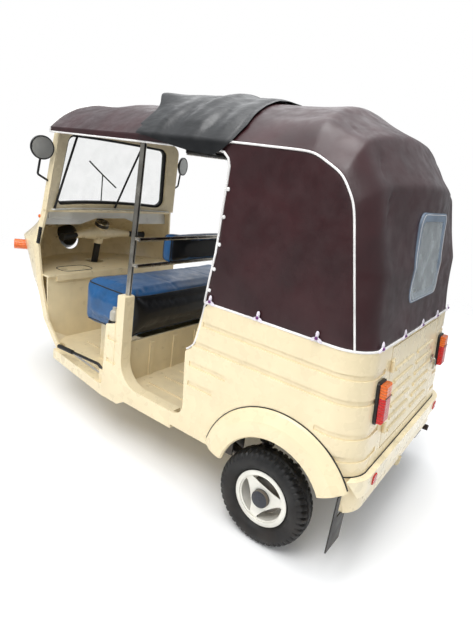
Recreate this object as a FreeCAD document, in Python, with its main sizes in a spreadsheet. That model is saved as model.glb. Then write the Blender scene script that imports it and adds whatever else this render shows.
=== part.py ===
"""Auto rickshaw: three wheeled passenger vehicle with a ribbed sheet metal tub and a fabric hood.

Row frame: Z up, the front of the vehicle towards -Y, its left side towards +X. The origin lies on the ground
in the middle of the vehicle's length and width. A station is a distance behind the front axle. Heights in this
source are measured from the body's datum plane, which the finished sub-parts' placements raise to its ride height.
"""

import FreeCAD, Part
import math
import os

from FreeCAD import Placement, Rotation, Vector

DOCUMENT = FreeCAD.newDocument("auto_rickshaw")
SHEET = DOCUMENT.addObject("Spreadsheet::Sheet", "Sizes")
NODES = {}

# Driving dimensions in millimetres, or degrees where the name says so: (alias, value, what it is).
SIZES = (
    ("overall_length", 2640, "front of the nose to the back of the bumper"),
    ("front_overhang", 295, "front axle to the front of the nose"),
    ("wheelbase", 1975, "front axle to rear axle"),
    ("ride_height", 45, "body's datum plane above the ground"),
    ("rear_track", 1175, "between the rear tyres' middles"),
    ("wheel_radius", 206, "outside of the tyre"),
    ("tyre_width", 112, "across the tyre"),
    ("rim_radius", 121, "outside of the rim flange"),
    ("rim_width", 78, "across the rim flanges"),
    ("axle_radius", 15, "stub axle"),
    ("running_gap", 0.3, "between a turning part and what carries it"),
    ("hub_radius", 38, "brake drum nave"),
    ("body_half_width", 610, "middle to the outer face of the side panels"),
    ("panel_wall", 14, "depth of a side or rear panel with its flanges"),
    ("belt_height", 880, "top edge of the rear tub"),
    ("tub_bottom", 255, "bottom edge of the rear tub"),
    ("tub_rear_low", 2334, "station of the rear panel at the bottom edge"),
    ("tub_rear_high", 2272, "station of the rear panel at the belt"),
    ("tub_corner", 130, "plan radius of the tub's rear corners"),
    ("tub_front", 1440, "station where the tub panel meets the sill"),
    ("swage_depth", 5, "depth of the pressed swages"),
    ("swage_height", 22, "height of a pressed swage"),
    ("arch_radius", 300, "wheel arch cut in the tub panel"),
    ("fender_station", 2000, "station of the fender's centre"),
    ("fender_height", 206, "height of the fender's centre"),
    ("fender_outer", 352, "radius of the fender's outer edge about the axle"),
    ("fender_inner", 236, "radius of the fender's wheel opening"),
    ("fender_bulge", 40, "how far the fender stands out of the tub panel"),
    ("fender_wall", 10, "fender sheet with its rolled edge"),
    ("frame_depth", 60, "depth of the boxed side frame"),
    ("sill_low", 205, "underside of the driver's sill"),
    ("sill_rear_low", 236, "underside of the passenger's sill"),
    ("sill_top", 322, "top of the passenger's sill"),
    ("driver_sill_top", 262, "top of the driver's sill"),
    ("front_half_width", 520, "middle to the outer face at the front pillar"),
    ("stub_front", 943, "station of the front edge of the pillar box"),
    ("stub_rear", 1078, "station of the rear edge of the pillar box"),
    ("stub_top", 606, "top of the wide pillar box"),
    ("post_top", 776, "top of the narrow pillar"),
    ("post_width", 52, "narrow pillar along the vehicle"),
    ("floor_top", 288, "top of the floor pan"),
    ("floor_sheet", 12, "floor pan thickness with its ribs' flanges"),
    ("floor_front", 430, "station of the floor pan's front edge"),
    ("rib_height", 7, "floor ribs above the pan"),
    ("rib_width", 34, "floor rib"),
    ("rib_pitch", 120, "from one floor rib to the next"),
    ("cowl_wall", 12, "nose panel thickness"),
    ("pillar_depth", 46, "folded rear edge of the nose panel, as front pillar"),
    ("screen_base", 1060, "height of the windscreen's foot"),
    ("screen_top", 1535, "top of the windscreen frame"),
    ("screen_radius", 1500, "plan radius of the curved windscreen"),
    ("screen_station", 140, "station of the windscreen's foot in the middle"),
    ("screen_frame_depth", 40, "windscreen frame from front to back"),
    ("screen_lean_deg", 8, "backward lean of the windscreen"),
    ("screen_half_low", 515, "half width of the windscreen frame at its foot"),
    ("screen_half_high", 470, "half width of the windscreen frame at its top"),
    ("glass_half_low", 440, "half width of the glass opening at its foot"),
    ("glass_half_high", 392, "half width of the glass opening at its top"),
    ("glass_low", 1088, "bottom of the glass opening"),
    ("glass_high", 1494, "top of the glass opening"),
    ("glass_corner", 55, "corner radius of the glass opening"),
    ("seal_width", 16, "rubber seal round the glass"),
    ("glass_sheet", 6, "windscreen glass"),
    ("shelf_drop", 202, "from the handlebar's middle down to the parcel shelf"),
    ("shelf_rear", 334, "station of the parcel shelf's rear edge"),
    ("shelf_sheet", 10, "parcel shelf thickness"),
    ("shield_station", 322, "station of the inner leg shield in the middle"),
    ("steer_tilt_deg", 10, "backward lean of the steering axis"),
    ("steer_foot_height", 206, "height of the steering axis's reference point"),
    ("steer_trail", 22, "how far that point sits ahead of the front axle"),
    ("column_radius", 22, "steering column"),
    ("head_radius", 38, "steering head tube"),
    ("head_low", 530, "bottom of the head tube"),
    ("bar_height", 892, "middle of the handlebar"),
    ("bar_half", 345, "half length of the handlebar"),
    ("bar_sweep", 70, "how far the grips sit behind the handlebar's middle"),
    ("cover_radius", 48, "handlebar cover in the middle"),
    ("grip_radius", 18, "rubber grip"),
    ("grip_length", 115, "rubber grip"),
    ("guard_radius", 246, "front mudguard's outer radius about the axle"),
    ("guard_wall", 6, "front mudguard sheet"),
    ("guard_half_width", 74, "half width of the front mudguard"),
    ("pole_station", 1062, "station of the hood poles"),
    ("pole_radius", 14, "hood pole tube"),
    ("pole_inset", 38, "from the body's side to the pole's middle at its foot"),
    ("rail_height", 1497, "middle of the roof side rails"),
    ("rail_radius", 12, "roof rail and bow tube"),
    ("hood_half_width", 592, "middle to the hood's side seam"),
    ("hood_spring", 1515, "height of the roof's side seam"),
    ("hood_crest", 1700, "highest point of the roof"),
    ("hood_front_crest", 1640, "roof crest at the windscreen"),
    ("hood_sheet", 8, "hood cloth with its hems"),
    ("seam_gap", 0.4, "between the hood's side panels and its strip"),
    ("hood_pivot_station", 1700, "station of the line that the hood's bows fan out from"),
    ("hood_pivot_height", 1150, "height of that line"),
    ("bow_width", 26, "flat roof bow along the vehicle"),
    ("bow_sheet", 8, "flat roof bow thickness"),
    ("bow_gap", 3, "between the roof cloth and a bow"),
    ("valance_low", 1480, "bottom edge of the front roof's side flap"),
    ("hood_break", 1300, "station where the front roof cloth ends"),
    ("curtain_low", 1560, "station of the side curtain's front edge at the belt"),
    ("curtain_high", 1512, "station of the side curtain's front edge at the roof"),
    ("window_half", 200, "half width of the rear window"),
    ("window_rise", 140, "from the belt up to the rear window"),
    ("window_drop", 350, "from the roof's crest down to the rear window"),
    ("flap_thickness", 16, "rolled rain flap lying on the roof"),
    ("flap_front", 1075, "station of the rain flap's front edge"),
    ("flap_rear", 1545, "station of the rain flap's rear edge"),
    ("flap_low", 1402, "lowest edge of the rain flap"),
    ("flap_side_gap", 4.5, "between the hood's side and the hanging rain flap"),
    ("flap_crest_gap", 0.6, "between the roof's crest and the rain flap"),
    ("seat_half_width", 532, "half width of the driver's bench"),
    ("seat_front", 640, "station of the driver's bench front"),
    ("seat_rear", 1052, "station of the driver's bench back"),
    ("seat_top", 772, "top of the driver's bench"),
    ("seat_bottom", 512, "bottom of the driver's bench"),
    ("partition_station", 1035, "station of the partition's rear face"),
    ("backrest_half_width", 330, "half width of the driver's backrest"),
    ("backrest_depth", 95, "driver's backrest from front to back"),
    ("backrest_low", 905, "bottom of the driver's backrest"),
    ("backrest_high", 1072, "top of the driver's backrest"),
    ("bench_front", 1590, "station of the passenger bench's front"),
    ("bench_rear", 2080, "station of the passenger bench's back"),
    ("bench_top", 660, "top of the passenger cushion"),
    ("bench_cushion", 120, "passenger cushion thickness"),
    ("bench_back_top", 1060, "top of the passenger backrest"),
    ("door_half_width", 346, "half width of the engine door"),
    ("door_low", 450, "bottom of the engine door"),
    ("door_drop", 18, "from the belt down to the engine door"),
    ("door_gap", 6, "gap round the engine door"),
    ("louvre_length", 250, "length of a louvre"),
    ("louvre_height", 16, "height of a louvre"),
    ("louvre_rows", 6, "louvres in a column"),
    ("louvre_column", 158, "from the middle to the middle of a louvre column"),
    ("louvre_rise", 50, "from the door's bottom to the lowest louvre"),
    ("louvre_drop", 102, "from the door's top to the highest louvre"),
    ("hinge_rise", 70, "from the door's bottom to the lower hinge"),
    ("hinge_drop", 92, "from the door's top to the upper hinge"),
    ("bumper_low", 330, "bottom of the bumper"),
    ("bumper_height", 74, "height of the bumper"),
    ("bumper_depth", 42, "bumper flange from front to back"),
    ("bumper_side_station", 2180, "station of the bumper's side ends"),
    ("lamp_spacing", 896, "between the tail lamps' middles"),
    ("lamp_low", 606, "bottom of the tail lamps"),
    ("lamp_height", 150, "tail lamp height"),
    ("lamp_width", 66, "tail lamp width"),
    ("lamp_depth", 36, "tail lamp depth"),
    ("mirror_half", 554, "middle to the mirror head's middle"),
    ("mirror_height", 1393, "height of the mirror head"),
    ("mirror_station", 286, "station of the mirror head"),
    ("mirror_radius", 62, "round mirror head"),
    ("lever_length", 400, "hand start lever"),
    ("lever_half", 566, "middle to the start lever"),
    ("lever_station", 905, "station of the start lever's pivot"),
    ("lever_rise", 50, "start lever's pivot above the driver's sill"),
    ("crown_drop", 10, "from the head tube's foot to the fork crown's top"),
    ("crown_height", 36, "fork crown"),
    ("engine_length", 300, "engine block along the vehicle"),
    ("engine_width", 300, "engine block across the vehicle"),
    ("engine_height", 250, "engine block height"),
    ("engine_low", 120, "bottom of the engine block"),
    ("engine_lead", 105, "how far the engine block reaches ahead of the rear axle"),
    ("arm_pivot_lead", 303, "from the trailing arms' pivot to the rear axle"),
    ("arm_pivot_height", 258, "height of the trailing arms' pivot"),
    ("arm_inset", 84, "from the tyre's middle to the trailing arm"),
    ("spine_half_width", 34, "half width of the chassis spine"),
    ("spine_height", 62, "height of the chassis spine"),
    ("exhaust_radius", 16, "tail pipe outside radius"),
    ("tow_bore_radius", 11, "towing eye bore"),
    ("tow_plate", 8, "towing eye plate"),
)


def fill_sheet():
    """Writes every driving dimension to the spreadsheet as text under its alias, and reads the values back."""
    for row, (alias, value, words) in enumerate(SIZES, start=1):
        SHEET.set("A%d" % row, alias)
        SHEET.set("B%d" % row, str(value))
        SHEET.set("C%d" % row, words)
        SHEET.setAlias("B%d" % row, alias)
    DOCUMENT.recompute()
    return {alias: float(SHEET.get(alias)) for alias, value, words in SIZES}


S = fill_sheet()
FRONT_AXLE = -S["overall_length"] / 2 + S["front_overhang"]
REAR_AXLE = FRONT_AXLE + S["wheelbase"]
AXLE_HEIGHT = S["wheel_radius"] - S["ride_height"]
FENDER_Y = FRONT_AXLE + S["fender_station"]
DOOR_TOP = S["belt_height"] - S["door_drop"]
SHELF_TOP = S["bar_height"] - S["shelf_drop"]
ARM_PIVOT = S["wheelbase"] - S["arm_pivot_lead"]


def at(station):
    """Row frame Y of a station, which is a distance behind the front axle."""
    return FRONT_AXLE + station


def keep(label, shape):
    """Stores a shape made with Part's own functions as a sub-part of the document."""
    feature = DOCUMENT.addObject("Part::Feature", label)
    feature.Shape = shape
    return name_node(label, feature)


def name_node(label, feature):
    """Marks an object as the finished sub-part of that name and raises it to the ride height."""
    feature.Label = label
    feature.Placement = Placement(Vector(0, 0, S["ride_height"]), Rotation()) * feature.Placement
    NODES[label] = feature
    return feature


def corner_wire(points, plane, level):
    """Closed wire through (a, b, radius) corners, each rounded by its radius, on a plane at that level.

    The plane is "xy", "xz" or "yz": a and b run along its two letters.
    """
    place = {
        "xy": lambda a, b: Vector(a, b, level),
        "xz": lambda a, b: Vector(a, level, b),
        "yz": lambda a, b: Vector(level, a, b),
    }[plane]
    edges = []
    ends = []
    count = len(points)
    for i, (a, b, radius) in enumerate(points):
        here = place(a, b)
        before = place(*points[i - 1][:2])
        after = place(*points[(i + 1) % count][:2])
        if radius <= 0:
            ends.append((here, here, None))
            continue
        back = (before - here).normalize()
        on = (after - here).normalize()
        half = back.getAngle(on) / 2
        reach = radius / math.tan(half)
        middle = here + (back + on).normalize() * (radius / math.sin(half) - radius)
        ends.append((here + back * reach, here + on * reach, middle))
    for i in range(count):
        start, stop, middle = ends[i]
        if middle is not None:
            edges.append(Part.Arc(start, middle, stop).toShape())
        following = ends[(i + 1) % count][0]
        if (following - stop).Length > 1e-6:
            edges.append(Part.LineSegment(stop, following).toShape())
    return Part.Wire(edges)


def prism(points, plane, low, high):
    """Solid between two levels with a rounded corner outline."""
    direction = {"xy": Vector(0, 0, 1), "xz": Vector(0, 1, 0), "yz": Vector(1, 0, 0)}[plane]
    face = Part.Face(corner_wire(points, plane, low))
    return face.extrude(direction * (high - low))


def box(x0, x1, y0, y1, z0, z1):
    """Plain block between two corners."""
    return Part.makeBox(x1 - x0, y1 - y0, z1 - z0, Vector(x0, y0, z0))


def rod(start, end, radius):
    """Round bar between two points."""
    a, b = Vector(*start), Vector(*end)
    return Part.makeCylinder(radius, (b - a).Length, a, b - a)


def pipe(points, radius, bend):
    """Round bar along straight runs joined by bends of one radius."""
    vectors = [Vector(*p) for p in points]
    edges = []
    last = vectors[0]
    for i in range(1, len(vectors) - 1):
        here = vectors[i]
        back = (vectors[i - 1] - here).normalize()
        on = (vectors[i + 1] - here).normalize()
        half = back.getAngle(on) / 2
        reach = bend / math.tan(half)
        start = here + back * reach
        stop = here + on * reach
        middle = here + (back + on).normalize() * (bend / math.sin(half) - bend)
        edges.append(Part.LineSegment(last, start).toShape())
        edges.append(Part.Arc(start, middle, stop).toShape())
        last = stop
    edges.append(Part.LineSegment(last, vectors[-1]).toShape())
    path = Part.Wire(edges)
    ring = Part.Wire(Part.Circle(vectors[0], vectors[1] - vectors[0], radius).toShape())
    return path.makePipeShell([ring], True, False, 1)


def mirrored(shape):
    """The same shape on the vehicle's other side."""
    return shape.mirror(Vector(0, 0, 0), Vector(1, 0, 0))


# Rear tub


def tub_rear(height):
    """Station of the tub's raked rear face at a height."""
    share = (height - S["tub_bottom"]) / (S["belt_height"] - S["tub_bottom"])
    return S["tub_rear_low"] + share * (S["tub_rear_high"] - S["tub_rear_low"])


def tub_body(inset, low, high, front):
    """Solid of the tub's plan between two heights, drawn in by an inset, with its rear face raked."""
    wires = []
    for height in (low, high):
        half = S["body_half_width"] - inset
        rear = at(tub_rear(height)) - inset
        radius = S["tub_corner"] - inset
        wires.append(
            corner_wire(
                [(half, at(front), 0), (half, rear, radius), (-half, rear, radius), (-half, at(front), 0)],
                "xy",
                height,
            )
        )
    return Part.makeLoft(wires, True, True)


def tub_front_outline():
    """Side view of the tub panel ahead of which nothing is kept, as (station, height, radius) corners."""
    return [
        (S["tub_front"], S["tub_bottom"] - 60, 0),
        (S["tub_front"], S["sill_top"], 0),
        (S["tub_front"] + 66, S["sill_top"] + 2, 55),
        (S["tub_front"] + 46, 560, 60),
        (S["tub_front"] + 42, 642, 12),
        (S["tub_front"] + 76, 664, 30),
        (S["tub_front"] + 112, 846, 60),
        (S["tub_front"] + 156, S["belt_height"] + 30, 0),
        (3000, S["belt_height"] + 30, 0),
        (3000, S["tub_bottom"] - 60, 0),
    ]


def swage_bands():
    """Pressed swages of the tub as (height, front station, rear station)."""
    rear = tub_rear(S["tub_bottom"])
    return (
        (786, 1560, rear),
        (690, 1520, rear),
        (592, 1510, 1700),
        (500, 1515, 1640),
        (560, 2130, rear),
        (470, 2190, rear),
    )


def keep_pair(label, shape):
    """Stores a left side shape and its mirror image as one sub-part of two solids."""
    return keep(label, Part.makeCompound([shape, mirrored(shape)]))


def build_tub():
    """Left and right tub panels with swages and wheel arches, and the cross panels above and below the door."""
    wall = S["panel_wall"]
    low, high = S["tub_bottom"], S["belt_height"]
    front = S["tub_front"] - 40
    shell = tub_body(0, low, high, front).cut(tub_body(wall, low - 1, high + 1, front - 10))
    for height, start, stop in swage_bands():
        z0 = height - S["swage_height"] / 2
        z1 = height + S["swage_height"] / 2
        skin = tub_body(-5, z0, z1, front).cut(tub_body(S["swage_depth"], z0, z1, front - 10))
        reach = S["body_half_width"] + 20
        side_limit = S["door_half_width"] + 60
        for side in (1, -1):
            x0, x1 = sorted((side * side_limit, side * reach))
            shell = shell.cut(skin.common(box(x0, x1, at(start), at(stop + 10), z0, z1)))
    outline = prism(
        [(at(a), b, r) for a, b, r in tub_front_outline()], "yz", -S["body_half_width"] - 10, S["body_half_width"] + 10
    )
    shell = shell.common(outline)
    arch = Part.makeCylinder(
        S["arch_radius"], 1400, Vector(-700, FENDER_Y, S["fender_height"]), Vector(1, 0, 0)
    )
    arch_room = arch.cut(box(-S["body_half_width"] + 40, S["body_half_width"] - 40, -3000, 3000, 0, 2000))
    split = S["door_half_width"] + 30
    keep_pair("side_panels", shell.common(box(split, 700, -2000, 2000, 0, 2000)).cut(arch_room))
    middle = shell.common(box(-split, split, at(2000), at(2400), 0, 2000))
    gap = S["door_gap"]
    half = S["door_half_width"] + gap
    opening = box(-half, half, at(2100), at(2400), S["door_low"] - gap, DOOR_TOP + gap)
    eye_y = at(2312)
    top = S["tub_bottom"] + 4
    plate = prism(
        [(eye_y - 30, top, 0), (eye_y - 26, top - 54, 20), (eye_y + 26, top - 54, 20), (eye_y + 30, top, 0)],
        "yz",
        -S["tow_plate"] / 2,
        S["tow_plate"] / 2,
    )
    bore = rod((-20, eye_y, top - 31), (20, eye_y, top - 31), S["tow_bore_radius"])
    keep("rear_frame", middle.cut(opening).fuse(plate.cut(bore)).removeSplitter())


def fender_end_height(station):
    """Height of the fender's rear end plane at a station."""
    return S["fender_height"] + (station - S["fender_station"]) / math.tan(math.radians(FENDER_REAR_DEG))


# Reach of the fender from straight up to its front and rear ends, in degrees.
FENDER_FRONT_DEG = 78
FENDER_REAR_DEG = 62


def build_fenders():
    """Curved fender over each rear wheel: a bulged section turned about the axle."""
    side_face = S["body_half_width"]
    bulge = side_face + S["fender_bulge"]
    wall = S["fender_wall"]
    outer, inner = S["fender_outer"], S["fender_inner"]
    gap = S["running_gap"]
    points = [
        (outer, side_face + gap),
        (outer - 8, side_face + 14),
        (outer - 48, bulge - 4),
        (inner + 6, bulge),
        (inner, bulge - 8),
        (inner, bulge - wall - 8),
        (inner + wall, bulge - wall - 4),
        (outer - 52, bulge - wall - 6),
        (outer - 24, side_face + gap),
    ]
    vectors = [Vector(x, FENDER_Y, S["fender_height"] + r) for r, x in points]
    edges = [
        Part.LineSegment(vectors[0], vectors[1]).toShape(),
        Part.LineSegment(vectors[1], vectors[2]).toShape(),
        Part.Arc(vectors[2], (vectors[2] + vectors[3]) * 0.5 + Vector(4, 0, 0), vectors[3]).toShape(),
    ]
    edges += [Part.LineSegment(vectors[i], vectors[i + 1]).toShape() for i in range(3, 6)]
    edges += [
        Part.Arc(vectors[6], (vectors[6] + vectors[7]) * 0.5 + Vector(4, 0, 0), vectors[7]).toShape(),
        Part.LineSegment(vectors[7], vectors[8]).toShape(),
        Part.LineSegment(vectors[8], vectors[0]).toShape(),
    ]
    face = Part.Face(Part.Wire(edges))
    centre = Vector(0, FENDER_Y, S["fender_height"])
    half = face.revolve(centre, Vector(1, 0, 0), FENDER_FRONT_DEG)
    other = face.revolve(centre, Vector(1, 0, 0), -FENDER_REAR_DEG)
    fender = half.fuse(other).removeSplitter()
    keep_pair("fenders", fender)


# Cabin sides, floor and nose


def frame_half_width(station):
    """Outer half width of the side frame: it narrows towards the front pillar."""
    knee = S["stub_front"]
    if station >= knee:
        return S["body_half_width"]
    front = 330.0
    share = (knee - station) / (knee - front)
    return S["body_half_width"] + share * (S["front_half_width"] - S["body_half_width"])


def frame_band(outer_inset, inner_inset, low, high):
    """Plan band of the left side frame between two insets from its outer face."""
    stations = (150.0, 330.0, S["stub_front"], S["tub_front"])
    outer = [(frame_half_width(s) - outer_inset, at(s), 0) for s in stations]
    inner = [(frame_half_width(s) - inner_inset, at(s), 0) for s in reversed(stations)]
    return prism(outer + inner, "xy", low, high)


# Radius of the start lever's pivot pin.
LEVER_PIN = 8


def build_side_frames():
    """Boxed side frames: driver's sill, pillar box with its narrow post, and passenger's sill."""
    front_end = 400.0
    nose_room = nose_body(-S["running_gap"], 0, S["pillar_depth"] + S["running_gap"])
    outline = [
        (at(S["tub_front"]), S["sill_rear_low"], 0),
        (at(S["tub_front"]), S["sill_top"], 0),
        (at(S["stub_rear"]), S["sill_top"], 130),
        (at(S["stub_rear"]), S["post_top"], 10),
        (at(S["stub_rear"] - S["post_width"]), S["post_top"], 10),
        (at(S["stub_rear"] - S["post_width"]), S["stub_top"] + 20, 14),
        (at(S["stub_front"] + 10), S["stub_top"], 12),
        (at(S["stub_front"]), S["driver_sill_top"], 26),
        (at(front_end), S["driver_sill_top"], 0),
        (at(front_end), S["sill_low"], 0),
        (at(S["stub_rear"] - 10), S["sill_low"], 12),
        (at(S["stub_rear"] + 40), S["sill_rear_low"], 0),
    ]
    band = frame_band(0, S["frame_depth"], S["sill_low"] - 5, S["post_top"] + 5)
    frame = band.common(prism(outline, "yz", 300, 700))
    for height in (540, 420):
        groove = box(
            S["body_half_width"] - S["swage_depth"],
            S["body_half_width"] + 10,
            at(S["stub_front"] + 28),
            at(S["stub_rear"] - 40),
            height - S["swage_height"] / 2,
            height + S["swage_height"] / 2,
        )
        frame = frame.cut(groove)
    frame = frame.cut(nose_room)
    x, y, z = S["lever_half"], at(S["lever_station"]), S["driver_sill_top"] + S["lever_rise"]
    ears = [box(x + s - 2, x + s + 2, y - 16, y + 16, S["driver_sill_top"] - 2, z + 16) for s in (-16, 16)]
    pin = rod((x - 18, y, z), (x + 18, y, z), LEVER_PIN)
    keep("side_frames", Part.makeCompound([frame.multiFuse(ears + [pin]), mirrored(frame)]))


def build_floor():
    """Floor pan with long ribs, set between the side frames."""
    top, sheet = S["floor_top"], S["floor_sheet"]
    depth = S["frame_depth"]
    stations = (S["floor_front"], S["stub_front"], S["bench_front"] + 50)
    right = [(frame_half_width(s) - depth, at(s), 0) for s in stations]
    left = [(-(frame_half_width(s) - depth), at(s), 0) for s in reversed(stations)]
    pan = prism(right + left, "xy", top - sheet, top)
    rib_half = S["rib_width"] / 2
    rear_start, rear_stop = at(S["stub_rear"] + 32), at(S["bench_front"] - 50)
    for step in (-3.5, -2.5, -1.5, -0.5, 0.5, 1.5, 2.5, 3.5):
        x = step * S["rib_pitch"]
        pan = pan.fuse(box(x - rib_half, x + rib_half, rear_start, rear_stop, top - 1, top + S["rib_height"]))
    front_start, front_stop = at(S["floor_front"] + 40), at(S["seat_front"])
    for step in (-2.75, -1.9, 1.9, 2.75):
        x = step * S["rib_pitch"]
        pan = pan.fuse(box(x - rib_half, x + rib_half, front_start, front_stop, top - 1, top + S["rib_height"]))
    gap = S["running_gap"]
    front = S["floor_front"]
    toe = box(-600, 600, at(S["shield_station"]), at(front), top - sheet, top)
    toe = toe.common(nose_body(S["cowl_wall"] + gap, S["cowl_wall"] + gap, 300))
    for side in (1, -1):
        x0, x1 = sorted((side * (frame_half_width(front - 30) - depth - 1), side * 700))
        toe = toe.cut(box(x0, x1, at(front - 31), at(front + 10), 0, top + 10))
    pad = box(-150, -70, at(front + 22), at(front + 32), top + 92, top + 150)
    knee = (-110, at(front + 10), top + 40)
    arm = pipe([(-110, at(front + 27), top + 110), knee, (-110, at(front - 30), top - 12)], 8, 10)
    pedal = pad.fuse(arm.common(box(-200, 0, -2000, 0, top - 5, 1000)))
    keep("floor_pan", pan.fuse(toe).removeSplitter().fuse(pedal))


# Nose sections from the bottom up: (height, half width, station of the side edge, station of the front).
NOSE_SECTIONS = (
    (205, 500, 430, 330),
    (420, 528, 290, 90),
    (640, 540, 236, -170),
    (860, 540, 196, -295),
    (1060, 505, 216, 36),
)


def nose_body(inset, drop, back):
    """Solid of the nose, drawn in by an inset, its top lowered by a drop and its open side moved back."""
    wires = []
    for height, half, side_station, front_station in NOSE_SECTIONS:
        last = height == NOSE_SECTIONS[-1][0]
        z = height - drop if last else height
        a = Vector(half - inset, at(side_station), z)
        b = Vector(0, at(front_station) + inset, z)
        c = Vector(-half + inset, at(side_station), z)
        rear_a = Vector(half - inset, at(side_station) + back, z)
        rear_c = Vector(-half + inset, at(side_station) + back, z)
        wires.append(
            Part.Wire(
                [
                    Part.Arc(a, b, c).toShape(),
                    Part.LineSegment(c, rear_c).toShape(),
                    Part.LineSegment(rear_c, rear_a).toShape(),
                    Part.LineSegment(rear_a, a).toShape(),
                ]
            )
        )
    return Part.makeLoft(wires, True, True)


def build_nose():
    """Rounded nose panel with the front wheel's slot, lamp seat and folded rear edges as front pillars."""
    wall = S["cowl_wall"]
    outer = nose_body(0, 0, S["pillar_depth"])
    inner = nose_body(wall, wall, S["pillar_depth"] + 80)
    slot_half = 216
    slot = prism(
        [
            (-slot_half, S["sill_low"] - 100, 0),
            (-slot_half, 566, 90),
            (slot_half, 566, 90),
            (slot_half, S["sill_low"] - 100, 0),
        ],
        "xz",
        at(-400),
        at(500),
    )
    lamp_hole = Part.makeCylinder(84, 260, Vector(0, at(-420), 800), Vector(0, 1, 0))
    keep("nose_panel", outer.cut(inner).cut(slot).cut(lamp_hole))


def build_inner_shield():
    """Inner leg shield from the floor to the parcel shelf, and the parcel shelf itself."""
    wall = 8
    gap = S["running_gap"]
    room = nose_body(S["cowl_wall"] + gap, S["cowl_wall"] + gap, 300)
    mid = at(S["shield_station"])
    low, high = S["floor_top"] - S["floor_sheet"], SHELF_TOP - S["shelf_sheet"]
    shield = box(-600, 600, mid - wall, mid, low, high).common(room)
    shelf = box(-600, 600, at(-320), at(S["shelf_rear"]), high, SHELF_TOP).common(room)
    lip = box(-470, 470, mid - 1, at(S["shelf_rear"]), high - 24, high + 1).common(room)
    column = steering_line(SHELF_TOP)
    hole = Part.makeCylinder(62, 120, Vector(0, column.y, high - 60), Vector(0, 0, 1))
    keep("inner_panel", shelf.multiFuse([lip, shield]).cut(hole).removeSplitter())
    dash = prism(
        [
            (-560, S["screen_base"], 0),
            (-560, 968, 0),
            (-240, 968, 20),
            (-120, 1006, 40),
            (120, 1006, 40),
            (240, 968, 20),
            (560, 968, 0),
            (560, S["screen_base"], 0),
        ],
        "xz",
        at(196),
        at(212),
    )
    keep("dash_panel", dash.common(room))


# Windscreen


def screen_outline(half_low, half_high, low, high, radius_low, radius_high):
    """Front view of a windscreen shape as rounded corners."""
    return [
        (half_low, low, radius_low),
        (half_high, high, radius_high),
        (-half_high, high, radius_high),
        (-half_low, low, radius_low),
    ]


def curved_slab(front_gap, depth):
    """Upright slab curved in plan like the windscreen, from a gap behind its front face and as deep as asked."""
    radius = S["screen_radius"]
    low, high = S["screen_base"] - 100, S["screen_top"] + 100
    reach = S["screen_half_low"] + 185
    centre = Vector(0, at(S["screen_station"]) + radius, low)
    outer = Part.makeCylinder(radius - front_gap, high - low, centre)
    inner = Part.makeCylinder(radius - front_gap - depth, high - low, centre)
    front_half = box(-reach, reach, at(S["screen_station"]) - 10, at(S["screen_station"]) + 300, low, high)
    return outer.cut(inner).common(front_half)


def lean_back(shape):
    """Leans a windscreen piece back about its foot."""
    leaned = shape.copy()
    leaned.rotate(
        Vector(0, at(S["screen_station"]) + 60, S["screen_base"]), Vector(1, 0, 0), -S["screen_lean_deg"]
    )
    return leaned


def glass_prism(inset):
    """Prism through the windscreen with the glass opening's outline, drawn in by an inset."""
    corner = S["glass_corner"] - inset
    outline = screen_outline(
        S["glass_half_low"] - inset,
        S["glass_half_high"] - inset,
        S["glass_low"] + inset,
        S["glass_high"] - inset,
        corner,
        corner,
    )
    return prism(outline, "xz", at(S["screen_station"]) - 50, at(S["screen_station"]) + 400)


def build_windscreen():
    """Curved windscreen frame, its rubber seal and the glass."""
    y0, y1 = at(S["screen_station"]) - 50, at(S["screen_station"]) + 400
    slab = curved_slab(0, S["screen_frame_depth"])
    outline = screen_outline(
        S["screen_half_low"], S["screen_half_high"], S["screen_base"], S["screen_top"], 0, 70
    )
    opening_solid = glass_prism(0)
    seal_solid = glass_prism(S["running_gap"])
    hole_solid = glass_prism(S["seal_width"])
    pane_solid = glass_prism(S["seal_width"] + S["running_gap"])
    frame = slab.common(prism(outline, "xz", y0, y1)).cut(opening_solid)
    foot = S["screen_base"]
    clear_foot = lean_back(frame).cut(box(-700, 700, -2000, 0, foot - 100, foot))
    keep("windscreen_frame", clear_foot)
    rubber = curved_slab(6, 20).common(seal_solid).cut(hole_solid)
    keep("windscreen_seal", lean_back(rubber))
    glass = curved_slab(12, S["glass_sheet"]).common(pane_solid)
    keep("windscreen_glass", lean_back(glass))


# Hood


def roof_section(half, spring, crest, low, station, inset):
    """Cross section of the roof as one wire: arched top, short sides and a flat bottom."""
    y = at(station)
    a = Vector(half - inset, y, spring)
    b = Vector(0, y, crest - inset)
    c = Vector(-half + inset, y, spring)
    floor_a = Vector(half - inset, y, low)
    floor_c = Vector(-half + inset, y, low)
    return Part.Wire(
        [
            Part.Arc(a, b, c).toShape(),
            Part.LineSegment(c, floor_c).toShape(),
            Part.LineSegment(floor_c, floor_a).toShape(),
            Part.LineSegment(floor_a, a).toShape(),
        ]
    )


def roof_body(inset, low, start, stop):
    """Solid under the front roof cloth between two stations."""
    front_half = 528.0
    spring = S["hood_spring"]
    front = roof_section(front_half, spring - 12, S["hood_front_crest"], low, start, inset)
    rear = roof_section(S["hood_half_width"], spring, S["hood_crest"] - 4, low, stop, inset)
    return Part.makeLoft([front, rear], True, True)


def build_front_roof():
    """Front roof cloth with its side flaps, its front edge bowed in plan."""
    start, stop = 150.0, S["hood_break"]
    sheet = S["hood_sheet"]
    outer = roof_body(0, S["valance_low"], start, stop)
    inner = roof_body(sheet, S["valance_low"] - 20, start, stop)
    bow_radius = 1050.0
    front_edge = 186.0
    keep_inside = Part.makeCylinder(
        bow_radius, 600, Vector(0, at(front_edge) + bow_radius, 1300)
    ).fuse(box(-800, 800, at(front_edge) + 400, at(3000), 1300, 1900))
    keep("front_roof", outer.cut(inner).common(keep_inside))


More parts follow.
